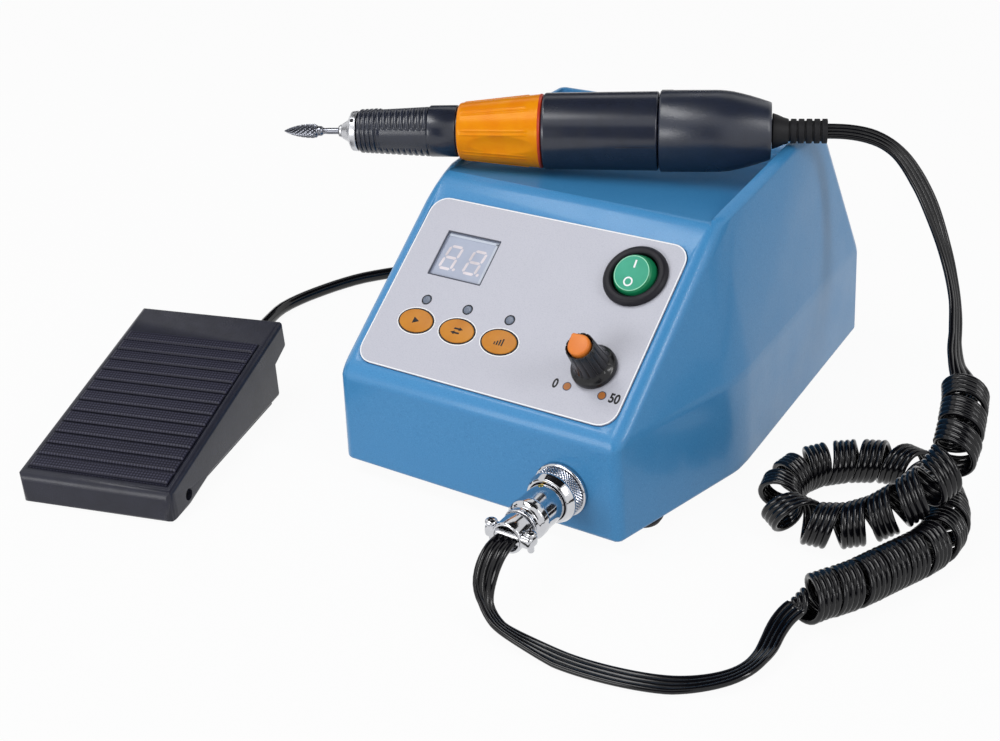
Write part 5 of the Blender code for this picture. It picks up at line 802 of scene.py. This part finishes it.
def lock_ring():
    """Tapered locking ring with a rolled edge, raised lines and finger scoops, and a red band at
    its rear edge as painted shade.
    """
    start, end, front, rear, scoop = 45.7, 76.8, 10.4, 13.4, 276
    outside = [(start, 9.6), (start + 0.3, 10.1)]
    outside += [(start + 0.9 + share * (end - start - 2.1), front + share * (rear - front))
                for share in (step / 40 for step in range(40))]
    outside += [(end - 1.2, rear), (end - 0.8, rear + 0.1), (end - 0.3, rear), (end, rear - 0.5)]

    def lines_and_scoops(height, radius, angle):
        if radius < 10.0 or not start + 1 < height < end - 1.4:
            return 1
        change = 0.0
        if start + 2.0 < height < end - 5.4:
            for pair in (scoop + side + away for side in (0, 180) for away in (-63, -22, 22, 63)):
                arc = math.radians((angle - pair + 180) % 360 - 180) * radius
                for line in (-0.75, 0.75):
                    change += 0.26 * min(1.0, 1.6 * max(0.0, 1 - abs(arc - line) / 0.38))
        along = (height - (start + end) / 2 - 1.2) / 11.8
        around = math.radians((angle - scoop + 90) % 180 - 90) * radius / 3.6
        change -= max(0.0, 1 - along ** 2 - around ** 2)
        return 1 + change / radius

    bm = turned(outside, 0, 288, [(start, 9.2), (end, 9.2)])
    stand_in("chuck_ring", carved(bm, lines_and_scoops), "amber_plastic", "lock_ring", HAND, 60)
    # A red band round the rear edge: painted shade where the amber darkens towards its edge.
    edge = turned([(end - 0.9, 13.54), (end - 0.3, 13.48), (end + 0.1, 13.1), (end + 0.2, 12.8)],
                  inside=[(end - 0.9, 9.4), (end + 0.2, 9.4)])
    piece("chuck_ring_edge", edge, "edge_shade_red", "lock", HAND)


def motor_housing():
    outside = [(77.2, 13.3), (77.5, 13.7), (78.1, 13.9), (118.4, 14.3), (118.8, 14.1),
               (119.0, 13.6)]
    inside = [(77.2, 9.1), (80.2, 9.1), (80.2, 12.2), (119.0, 12.2)]
    stand_in("motor_tube", turned(outside, 0.2, inside=inside), "satin_black", "motor_case",
             HAND, 30)
    piece("motor_seam", box((0.4, 0.3, 14.2), rounding=0.1), "satin_black", "handpiece",
          HAND @ turn(275, "Z") @ shift(14.28, 0, 111.1))
    cap_radius, taper, straight = 14.7, 19.8, 139.4
    shares = [(0.0, 1.0), (0.08, 0.997), (0.18, 0.986), (0.30, 0.965), (0.45, 0.920),
              (0.60, 0.868), (0.78, 0.795), (0.93, 0.728), (0.985, 0.703), (1.0, 0.680)]
    outside = [(119.4, 13.9), (119.6, 14.4), (120.1, cap_radius)]
    outside += [(straight + share * taper, cap_radius * size) for share, size in shares]
    inside = [(119.4, 12.5), (139.4, 12.5), (157.0, 8.1), (157.0, 4.3), (159.2, 4.3)]
    stand_in("tail_cap", turned(outside, inside=inside), "grained_black", "rear_cap", HAND, 40)
    piece("tail_cap_key", box((0.9, 2.2, 4.4), rounding=0.3), "grained_black", "handpiece",
          HAND @ turn(150, "Z") @ shift(14.5, 0, 121.9))


def strain_relief():
    seat, cone_end, end, count = 159.5, 165.2, RELIEF_END, 5
    outside = [(153.5, 4.0), (seat, 4.0), (seat, 6.2), (seat + 0.3, 6.4), (seat + 2.0, 5.8),
               (seat + 4.0, 4.9), (cone_end, 4.4)]
    pitch = (end - cone_end) / count
    outside += rings(cone_end, pitch, count, [(0.1, 4.3, 0), (0.2, 3.7, 0), (0.8, 3.7, 0),
                                              (0.9, 4.3, 0), (1.0, 4.4, 0), (pitch - 0.1, 4.4, 0)])
    stand_in("cord_relief", turned(outside + [(end, 4.2)], 0.1, 64, rounds=2), "soft_rubber",
             "strain_relief", HAND, 40)


def nose():
    """Turned nose, and a black plug as painted shade in its tool hole."""
    outside = [(0.0, 2.0), (0.2, 2.3), (1.0, 2.4), (1.2, 2.8), (3.6, 4.2), (3.8, 4.9), (4.8, 6.9),
               (5.2, 7.3), (7.2, 7.5), (7.4, 7.3)]
    stand_in("chuck_nose", turned(outside, 0.2, inside=[(0.0, 1.5), (7.4, 1.5)]), "turned_steel",
             "spindle_nose", HAND)
    # A black plug where the tool hole is: painted shade, the hole is not cut.
    piece("nose_hole_shade", turned([(6.8, 0.75), (7.52, 0.75)], 0, 24), "print_and_shade_black", "spindle",
          HAND @ shift(0, 0, 6.1) @ turn(219, "Z") @ turn(90, "Y"))
    piece("nose_dark_ring", turned([(-0.3, 1.6), (-0.2, 2.0), (0.1, 2.0)], 0, 48,
                                   [(-0.3, 1.3), (0.1, 1.3)]), "print_and_shade_black", "spindle", HAND)


def bur():
    """Pear-shaped bur head with crossing cuts, on its neck and shank."""
    tip, head_end, widest, blades = -21.5, -6.4, 2.7, 10
    head = head_end - tip
    shares = [(0.0, 0.05), (0.03, 0.16), (0.08, 0.30), (0.16, 0.48), (0.26, 0.66), (0.38, 0.82),
              (0.52, 0.94), (0.66, 1.0), (0.77, 1.0), (0.82, 0.93), (0.85, 0.76), (0.87, 0.68),
              (0.95, 0.68), (0.98, 0.58), (1.0, 0.46)]
    places = np.linspace(0, 1, 90)
    outside = [(tip + head * share, widest * size)
               for share, size in zip(places, np.interp(places, *zip(*shares)))]
    outside += [(head_end, 1.2), (head_end + 0.6, 1.1), (head_end + 2.2, 1.18), (24.0, 1.18)]

    def cut(height, radius, angle):
        if height >= tip + head * 0.84 or radius <= 0.4:
            return 1
        along, blade = height - tip, angle * blades / 360
        first, second = (blade + along * 0.50) % 1.0, (blade - along * 0.55) % 1.0
        depth = 0.58 * (1 - first) ** 1.6 + 0.34 * (1 - second) ** 3
        return 1 - min(depth, 0.75) * min(1.0, radius / 1.6) / radius

    stand_in("cross_cut_bur", carved(turned(outside, 0, 160), cut), "carbide", "carbide_bur",
             HAND, 24)


# Pedal
PEDAL_REAR = (0, 85.5, 8.8)
SLEEVE_LENGTH = 14.0


def tread_mat():
    """Rubber mat of thirteen ribbed bands, each with a fine raised grid."""
    place = PEDAL @ shift(0, 0, 12.3) @ turn(TREADLE_SLOPE, "X")
    start, end, width, groove, bands, columns, rows = 4.5, 84.0, 55.6, 0.8, 13, 92, 9
    pitch = (end - start) / bands
    shapes = [(box((width, end - start, 0.8), (0, (start + end) / 2, -0.4)), shift())]
    for index in range(bands):
        bm = raised(flat_grid(width, pitch - groove, columns, rows), 0.74)
        for vert in bm.verts:
            if vert.co.z > 0.4 * MM:
                column = round((vert.co.x / (width * MM) + 0.5) * columns)
                row = round((vert.co.y / ((pitch - groove) * MM) + 0.5) * rows)
                if not (0 < column < columns and 0 < row < rows):
                    vert.co.z -= 0.25 * MM
                elif (column + row) % 2:
                    vert.co.z += 0.30 * MM
        shapes.append((bm, shift(0, start + (index + 0.5) * pitch + groove / 2 * (index > 0),
                                 -0.02)))
    stand_in("mat_sheet", joined(*shapes), "mat_rubber", "tread_mat", place, 50)


def pedal_details():
    pin = [(-29.5, 1.7), (-29.2, 2.0), (29.2, 2.0), (29.5, 1.7)]
    stand_in("hinge_pin", turned(pin, 0, 48), "dark_steel", "pivot_pin",
             PEDAL @ shift(0, 12.4, 5.2) @ turn(90, "Y"))
    ribs = rings(4.4, 3.2, 3, [(0, 3.6, 0.1), (0.3, 3.0, 0), (1.2, 3.0, 0), (1.5, 3.6, 0.1)])
    sleeve = [(-3.3, 3.0), (0.3, 3.0), (0.3, 3.8), (3.0, 3.7), *ribs, (13.7, 3.3),
              (SLEEVE_LENGTH, 3.1)]
    stand_in("cord_sleeve", turned(sleeve, 0.2, 48), "soft_rubber", "cord_grommet",
             PEDAL @ shift(*PEDAL_REAR) @ turn(-90, "X"))


# Back and underside of the unit
BACK = 183.5
SOCKET_RISE = 23.0
INLET, FUSE, JACK = -36.0, 2.0, 32.0
PEDAL_PLUG_LENGTH = 34.5


def at_back(x):
    """A frame on the back wall whose z points out of the back."""
    return UNIT @ shift(x, BACK, SOCKET_RISE) @ turn(-90, "X")


def gripped(depth, low, high, least, grooves=24):
    """Finger grooves between two heights, in what lies outside a radius."""
    def groove(height, radius, angle):
        outside = low < height < high and radius > least
        return 1 - depth * outside * max(0.0, math.cos(math.radians(grooves * angle)))
    return groove


def rear_sockets():
    """Contacts of the inlet, the fuse cap, the jack and the pedal's plug in it."""
    for tag, x, rise in (("live", -7.0, 0), ("earth", 0, -3.0), ("neutral", 7.0, 0)):
        piece("inlet_contact_" + tag, box((2.1, 4.1, 11.1), (x, rise, -7.5), 0.4), "chrome",
              "unit", at_back(INLET))

    cap = [(-28.0, 5.8), (0.3, 5.8), (0.3, 6.8), (1.2, 6.8), (1.4, 6.4), (6.4, 6.3), (7.0, 5.8)]
    stand_in("fuse_cap", carved(turned(cap, 0.3, 144), gripped(0.035, 1.5, 6.6, 5.9)),
             "grained_black", "fuse_holder", at_back(FUSE))
    # A black bar for the cap's slot: painted shade, the slot is not cut.
    piece("fuse_slot_shade", box((7.6, 1.1, 0.2), (0, 0, 7.0)), "print_and_shade_black", "unit",
          at_back(FUSE) @ turn(35, "Z"))
    nut = [(-14.3, 3.4), (2.2, 3.4), (2.2, 5.4), (1.9, 5.8), (0.3, 5.8), (0.3, 4.8), (-18.0, 4.8)]
    stand_in("jack_nut", carved(turned(nut), gripped(0.05, 0.2, 2.3, 5.3)), "chrome",
             "pedal_jack", at_back(JACK))
    ribs = rings(23.2, 2.1, 5, [(0, 3.6, 0), (0.2, 3.0, 0), (0.8, 3.0, 0), (1.0, 3.6, 0.05)])
    outside = [(-14.0, 1.2), (-13.2, 2.2), (-12.0, 3.0), (-10.5, 3.0), (-10.0, 2.6), (-9.5, 3.0),
               (2.5, 3.0), (2.5, 4.5), (19.0, 4.5), (22.5, 4.2), (22.8, 3.6), *ribs,
               (PEDAL_PLUG_LENGTH, 3.3)]
    return stand_in("pedal_cord_plug", turned(outside, 0.2, 64), "black_plastic", "pedal_plug",
                    at_back(JACK), 45)


def unit_underside():
    """Round rubber feet, and cross-head screws in the bottom plate."""
    feet = {"front_left": (-53.0, 24.0), "front_right": (53.0, 24.0),
            "rear_left": (-54.0, 165.0), "rear_right": (54.0, 165.0)}
    foot = [(0, 5.2), (0.4, 5.8), (2.2, 6.9), (3.0, 7.0), (4.7, 7.0)]
    for tag, (x, y) in feet.items():
        stand_in("foot_" + tag, turned(foot, 0.4, 48), "soft_rubber", "unit_foot_" + tag,
                 UNIT @ shift(x, y))
        side = math.copysign(1, x)
        screw("plate", tag, 3.0, 1.8, "spring_steel",
              UNIT @ shift(side * 38.0, y + 6.0, 5.0) @ turn(180, "X"), 0.3, 1.7,
              30 + 0.95 * side)


# Solids that keep their shape
def rounded_off(bm, place, corner, first, second, radius, steps=6):
    """Takes the edge between two flat walls, given by their normals, down to a round."""
    first, second = Vector(first), Vector(second)
    centre = point(*corner) - radius * MM / (1 + first.dot(second)) * (first + second)
    for step in range(steps):
        normal = first.slerp(second, (step + 0.5) / steps)
        cut = bmesh.ops.bisect_plane(bm, geom=bm.verts[:] + bm.edges[:] + bm.faces[:], dist=1e-7,
                                     plane_co=place @ (centre + radius * MM * normal),
                                     plane_no=place.to_3x3() @ normal, clear_outer=True)
        edges = [part for part in cut["geom_cut"] if isinstance(part, bmesh.types.BMEdge)]
        bmesh.ops.holes_fill(bm, edges=edges, sides=0)


def smoothed(node, name, finish, sharp=40, rounds=()):
    """A merged copy of a solid with its rounded edges shaded smooth."""
    bm = bmesh.new()
    bm.from_mesh(frame["nodes"][node].data)
    bmesh.ops.remove_doubles(bm, verts=bm.verts[:], dist=1e-6)
    for edge in rounds:
        rounded_off(bm, *edge)
    made = stand_in(name, bm, finish, node, None, sharp)
    steady = made.modifiers.new("steady_normals", "WEIGHTED_NORMAL")
    steady.keep_sharp, steady.weight = True, 80
    return made


def kept_solids():
    finishes = {
        "label_film": ("panel_overlay",), "black_plastic": ("base_plate", "pedal_switch"),
        "pedal_plastic": ("pedal_base",), "soft_rubber": ("pedal_strip_front", "pedal_strip_rear"),
        "board_green": ("control_board", "power_board"), "magnet_iron": ("rotor",),
        "sheet_steel": ("transformer_core", "stator", "potentiometer"), "brass": ("socket_nut",),
        "turned_steel": ("knob_shaft", "spindle"), "chrome": ("front_bearing", "rear_bearing"),
        "copper_winding": ("transformer_winding",),
    }
    for finish, names in finishes.items():
        for name in names:
            for socket in frame["nodes"][name].material_slots:
                socket.material = FINISHES[finish].material


def moulded_shells():
    smoothed("housing_shell", "housing", "blue_paint")
    front_height, half, tilt = 12.3, 31.0, math.radians(TREADLE_SLOPE)
    ahead, up = (0, -1, 0), (0, -math.sin(tilt), math.cos(tilt))
    rounds = [(PEDAL, (0, 0, front_height), ahead, up, 4.2)]
    for side in (-1, 1):
        rounds += [(PEDAL, (side * half, 0, 0), ahead, (side, 0, 0), 4.0),
                   (PEDAL, (side * half, 0, front_height), up, (side, 0, 0), 2.1, 4)]
    smoothed("treadle", "tread_cover", "pedal_plastic", 40, rounds)
    spring = smoothed("return_spring", "coil_spring", "spring_steel", 80)
    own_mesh(spring)
    smoothed("mains_inlet", "inlet_body", "black_plastic", 30)


# Routes of cords, as smooth curves through given points
def seen_from_unit(place, **offset):
    """A point of an assembly in the frame of the unit, in millimetres."""
    return [value / MM for value in UNIT.inverted() @ place @ point(**offset)]


def places_along(points):
    """Distance travelled at each point of a chain."""
    return np.concatenate([[0], np.cumsum(np.linalg.norm(np.diff(points, axis=0), axis=1))])


def read_at(at, places, values):
    """Values given at places, read at other places along the same chain."""
    return np.column_stack([np.interp(at, places, values[:, axis]) for axis in range(3)])


def smooth_route(points, step):
    """Points at an even step on a smooth curve through the route's own points."""
    control = np.array(points, float)
    control = np.vstack([2 * control[0] - control[1], control, 2 * control[-1] - control[-2]])
    dense = []
    for before, start, end, after in zip(control, control[1:], control[2:], control[3:]):
        for share in np.linspace(0, 1, 24, endpoint=False):
            dense.append(0.5 * (2 * start + (end - before) * share
                                + (2 * before - 5 * start + 4 * end - after) * share ** 2
                                + (3 * start - before - 3 * end + after) * share ** 3))
    dense = np.array(dense + [control[-2]])
    travelled = places_along(dense)
    places = np.linspace(0, travelled[-1], max(2, round(travelled[-1] / step) + 1))
    return read_at(places, travelled, dense)


def softened(points, step, reach):
    """Average a chain of even points over a reach, with both ends held."""
    radius = int(3 * reach / step)
    offsets = np.arange(-radius, radius + 1) * step
    weights = np.exp(-(offsets / reach) ** 2 / 2)
    weights /= weights.sum()
    before = 2 * points[0] - points[radius:0:-1]
    after = 2 * points[-1] - points[-2:-radius - 2:-1]
    padded = np.vstack([before, points, after])
    return np.column_stack([np.convolve(padded[:, axis], weights, mode="valid")
                            for axis in range(3)])


def unit_rows(rows):
    return rows / np.linalg.norm(rows, axis=1)[:, None]


# Handpiece cord
WIRES = 4
WIRE_DIAMETER = 2.0
RIBBON_WIDTH = WIRES * WIRE_DIAMETER
CURL_RADIUS = 6.7
CURL_PITCH = 8.7
CURL_CLEARANCE = 0.5
CURL_EASE_TURNS = 0.75
CURL_LEAD = 9.0
CURL_POINTS = 28
ROUTE_STEP = 0.5
ROUTE_SOFTNESS = 4.0
FRONT_LEAD_ROUTE = [
    (35.4, -45.0, 15.5), (36.6, -49.2, 9.8), (41.0, -52.2, 5.0), (48.2, -54.2, 2.3),
    (56.8, -55.2, 1.4), (69.0, -56.2, 1.3), (79.5, -55.6, 1.3), (91.5, -53.5, 1.3),
    (102.6, -50.0, 1.3), (111.2, -44.6, 1.3), (118.0, -37.2, 1.4), (120.6, -30.0, 1.8),
    (120.5, -22.0, 3.0),
]
CURL_ROUTE = [
    (119.8, -14.0, 5.4), (120.8, -7.2, 7.2), (123.6, -1.0, 8.0), (127.4, 5.2, 8.0),
    (132.8, 13.4, 8.0), (137.6, 24.3, 8.0), (142.0, 33.9, 8.0), (145.6, 42.8, 8.0),
    (146.8, 53.1, 8.0), (144.6, 63.1, 8.0), (140.0, 72.2, 8.0), (133.5, 80.7, 8.0),
    (126.2, 85.8, 8.0), (120.1, 87.0, 8.0), (114.6, 85.7, 8.0), (108.6, 83.2, 8.0),
    (102.7, 79.6, 8.0), (97.4, 74.8, 8.0), (92.7, 68.5, 8.0), (90.5, 59.1, 8.0),
    (91.5, 49.6, 8.0), (95.4, 42.6, 8.0), (102.1, 38.8, 8.0), (109.0, 38.4, 8.0),
    (115.5, 40.0, 8.2), (122.1, 42.4, 10.2), (128.6, 44.3, 13.8), (134.1, 46.7, 18.6),
    (139.0, 50.3, 23.1), (143.0, 54.9, 26.7), (144.8, 60.0, 30.1), (144.8, 65.5, 33.5),
    (143.6, 72.0, 36.9), (142.0, 78.8, 39.7), (140.0, 86.1, 41.9), (136.5, 92.9, 43.4),
    (131.5, 100.1, 44.8),
]
REAR_LEAD_ROUTE = [
    (127.6, 109.5, 47.9), (123.7, 120.2, 53.8), (118.8, 128.4, 60.8), (112.7, 135.4, 69.8),
    (104.0, 141.5, 82.7), (98.3, 143.4, 90.1), (92.3, 144.2, 97.1), (87.5, 143.7, 100.7),
    (81.5, 142.2, 103.6),
]
# Distance along the ribbon, and the degrees that it is twisted there
RIBBON_TWIST = [(0, 0), (11, 30), (23, 48), (35, 28), (55, 4), (90, 3), (107, 16), (118, 28),
                (130, 24), (142, 0), (1247, 0), (1256, -40), (1268, -62), (1282, -58),
                (1294, -47), (1306, -30), (1318, -12), (1330, 4), (1342, 8), (1354, 15)]


def curls(axis, tangents, sides, ups, places):
    """Centre line and outward direction of the curled stretch, wound to the left."""
    bend = np.linalg.norm(np.gradient(tangents, axis=0), axis=1) / np.gradient(places)
    closed = (RIBBON_WIDTH + CURL_CLEARANCE) / (1 - bend * CURL_RADIUS)
    pitch = np.maximum(CURL_PITCH, closed)
    first, last = np.searchsorted(places, (places[0] + CURL_LEAD, places[-1] - CURL_LEAD))
    curled = slice(first, last + 1)
    turned_by = np.concatenate([[0], np.cumsum((np.diff(places) / pitch[:-1])[first:last])])
    turns = round(turned_by[-1])
    turned_by *= turns / turned_by[-1]
    at = np.concatenate([
        np.linspace(places[0], places[first], 6)[:-1],
        np.interp(np.linspace(0, turns, turns * CURL_POINTS + 1), turned_by, places[curled]),
        np.linspace(places[last], places[-1], 6)[1:],
    ])
    angle = FULL_TURN * np.interp(at, places[curled], turned_by)
    rise = np.minimum(angle, FULL_TURN * turns - angle) / (FULL_TURN * CURL_EASE_TURNS)
    radius = CURL_RADIUS * np.sin(math.pi / 2 * np.clip(rise, 0, 1))
    centre, side, up = (read_at(at, places, field) for field in (axis, sides, ups))
    outward = up * np.cos(angle)[:, None] - side * np.sin(angle)[:, None]
    return centre + outward * radius[:, None], outward


def handpiece_cord_line():
    """Centre line of the whole handpiece cord, and where the flat of the ribbon faces."""
    out = [seen_from_unit(PLUG, z=CLAMP_END + step) for step in (0, 6)]
    back = [seen_from_unit(HAND, z=RELIEF_END + step) for step in (6, 0)]
    route = out + FRONT_LEAD_ROUTE + CURL_ROUTE + REAR_LEAD_ROUTE + back
    line = softened(smooth_route(route, ROUTE_STEP), ROUTE_STEP, ROUTE_SOFTNESS)
    first, last = (int(np.linalg.norm(line - np.array(end), axis=1).argmin())
                   for end in (CURL_ROUTE[0], CURL_ROUTE[-1]))
    places = places_along(line)
    tangents = unit_rows(np.gradient(line, axis=0))
    sides = unit_rows(np.cross(tangents, (0, 0, 1)))
    ups = np.cross(sides, tangents)
    middle = slice(first, last + 1)
    centres, outward = curls(line[middle], unit_rows(np.gradient(line[middle], axis=0)),
                             sides[middle], ups[middle], places[middle])
    front = np.arange(0, first - 3, 4)
    rear = np.append(np.arange(last + 4, len(line) - 1, 4), len(line) - 1)
    chain = np.vstack([line[front], centres, line[rear]]) + np.array(UNIT.translation) / MM
    return chain, np.vstack([ups[front], outward, ups[rear]])


def ribbon_outline():
    """Cross-section of four round wires side by side."""
    radius = WIRE_DIAMETER / 2
    upper = []
    for index in range(WIRES):
        middle = RIBBON_WIDTH / 2 - (index + 0.5) * WIRE_DIAMETER
        first = 0 if index == 0 else 32
        last = 180 if index == WIRES - 1 else 148
        count = 7 if first == 0 or last == 180 else 5
        for angle in np.radians(np.linspace(first, last, count)):
            upper.append((middle + radius * math.cos(angle), radius * math.sin(angle)))
        if index < WIRES - 1:
            upper.append((middle - radius, radius * 0.40))
    return upper + [(u, -v) for u, v in reversed(upper[1:-1])]


def handpiece_cord():
    chain, outward = handpiece_cord_line()
    twist = np.radians(np.interp(places_along(chain), *zip(*RIBBON_TWIST)))
    clear = RIBBON_WIDTH / 2 * np.abs(np.sin(twist)) + WIRE_DIAMETER / 2 + CURL_CLEARANCE / 2
    chain[:, 2] = np.where(twist == 0, chain[:, 2], np.maximum(chain[:, 2], clear))
    heading = unit_rows(np.gradient(chain, axis=0))
    outward = unit_rows(outward - (outward * heading).sum(axis=1)[:, None] * heading)
    across = np.cross(heading, outward)
    outward = outward * np.cos(twist)[:, None] - across * np.sin(twist)[:, None]
    across = np.cross(heading, outward)
    section = ribbon_outline()
    bm = bmesh.new()
    start = cap = None
    for centre, wide, thick in zip(chain, across, outward):
        ring = [(centre + wide * u + thick * v) * MM for u, v in section]
        if cap is None:
            start = cap = bm.faces.new([bm.verts.new(place) for place in ring])
            continue
        grown = bmesh.ops.extrude_face_region(bm, geom=[cap])["geom"]
        if cap is not start:
            bmesh.ops.delete(bm, geom=[cap], context="FACES_ONLY")
        cap = next(item for item in grown if isinstance(item, bmesh.types.BMFace))
        for vert, place in zip(cap.verts, ring):
            vert.co = place
    bmesh.ops.recalc_face_normals(bm, faces=bm.faces[:])
    cord = piece("handpiece_cord", bm, "cord_black", None, sharp=80)
    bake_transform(cord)
    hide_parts("handpiece_cord_front", "handpiece_cord_curls", "handpiece_cord_rear")


# Pedal cord
CABLE_DIAMETER = 5.0
CABLE_LAY = 5.48
COIL_LOOPS = 6
COIL_POINTS = 60
COIL_CENTRE = (-45.0, 235.0)
COIL_INNER = 19.0
PEDAL_LEAD_ROUTE = [
    (-150.0, 48.9, 7.2), (-156.0, 63.0, 4.2), (-161.2, 77.5, 3.1), (-164.0, 89.0, 2.8),
    (-163.0, 100.4, 2.8), (-160.2, 111.1, 2.8), (-156.6, 121.2, 2.8), (-152.0, 130.6, 2.8),
    (-145.8, 138.8, 2.8), (-137.0, 149.0, 2.8), (-127.0, 162.0, 2.8), (-118.0, 177.0, 2.8),
    (-110.5, 195.0, 2.8), (-104.5, 213.0, 2.8), (-98.0, 231.0, 2.8), (-89.0, 247.0, 2.8),
    (-77.0, 259.5, 2.8), (-63.0, 267.8, 2.8),
]
TAIL_ROUTE = [
    (-25.0, 270.0, 8.3), (-8.0, 266.5, 8.6), (8.0, 260.0, 10.5), (20.5, 250.0, 14.5),
    (28.5, 238.5, 19.5), (31.5, 229.0, 22.4),
]


def coil_points():
    """Two layers of loops: the lower spirals in, the upper spirals out again."""
    half = COIL_LOOPS / 2
    points = []
    for turns in (step / COIL_POINTS for step in range(COIL_LOOPS * COIL_POINTS + 1)):
        radius = COIL_INNER + (half - min(turns, COIL_LOOPS - turns)) * CABLE_LAY
        climb = min(1.0, max(0.0, (turns - half) * 2 + 0.5))
        angle = FULL_TURN * (0.25 - turns)
        points.append((COIL_CENTRE[0] + radius * math.cos(angle),
                       COIL_CENTRE[1] + radius * math.sin(angle),
                       CABLE_DIAMETER / 2 + 0.3 + CABLE_LAY * climb))
    return points


def pedal_cord():
    out = PEDAL_REAR[1] + SLEEVE_LENGTH
    grommet = [seen_from_unit(PEDAL, y=out + step, z=PEDAL_REAR[2]) for step in (0, 6)]
    socket = [(JACK, BACK + PEDAL_PLUG_LENGTH + step, SOCKET_RISE) for step in (6, 0)]
    coil = coil_points()
    lead = smooth_route(grommet + PEDAL_LEAD_ROUTE + [coil[0]], 5)
    tail = smooth_route([coil[-1]] + TAIL_ROUTE + socket, 5)
    points = [UNIT @ point(*place) for place in (*lead[:-1], *coil, *tail[1:])]
    curve = bpy.data.curves.new("pedal_cord", "CURVE")
    curve.dimensions = "3D"
    curve.bevel_depth, curve.bevel_resolution = CABLE_DIAMETER / 2 * MM, 4
    curve.use_fill_caps = True
    line = curve.splines.new("POLY")
    line.points.add(len(points) - 1)
    for target, place in zip(line.points, points):
        target.co = (*place, 1)
    line.use_smooth = True
    curve.materials.append(FINISHES["cord_black"].material)
    cord = linked("pedal_cord", curve)
    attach(cord, "unit")
    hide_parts("pedal_cord_lead", "pedal_cord_coil", "pedal_cord_tail")
    return cord, points[0]


def coil_tie():
    """A wire tie round the turns of the pedal cord's coil."""
    inner = COIL_INNER - CABLE_DIAMETER / 2 - 0.8
    outer = COIL_INNER + COIL_LOOPS / 2 * CABLE_LAY + CABLE_DIAMETER / 2 + 0.6
    top, width = CABLE_DIAMETER + CABLE_LAY + 1.2, 6.0
    bm = raised(hollowed(rounded_rectangle(outer - inner, top, 2.2, 5), 0.8), width)
    place = (UNIT @ shift(*COIL_CENTRE, top / 2 + 0.05) @ turn(-35, "Z")
             @ shift((inner + outer) / 2) @ turn(90, "X") @ shift(0, 0, -width / 2))
    return piece("coil_tie", bm, "soft_rubber", "unit", place)


def cords(pedal_cord_plug):
    handpiece_cord()
    cord, start = pedal_cord()
    tie = coil_tie()


for make in (set_camera, studio, dark_cards, pale_floor, moulded_shells, kept_solids, label_print,
             keys, display, rocker_switch, speed_dial, plug, front_sleeve, lock_ring,
             motor_housing, strain_relief, nose, bur, tread_mat, pedal_details, unit_underside):
    make()
cords(rear_sockets())
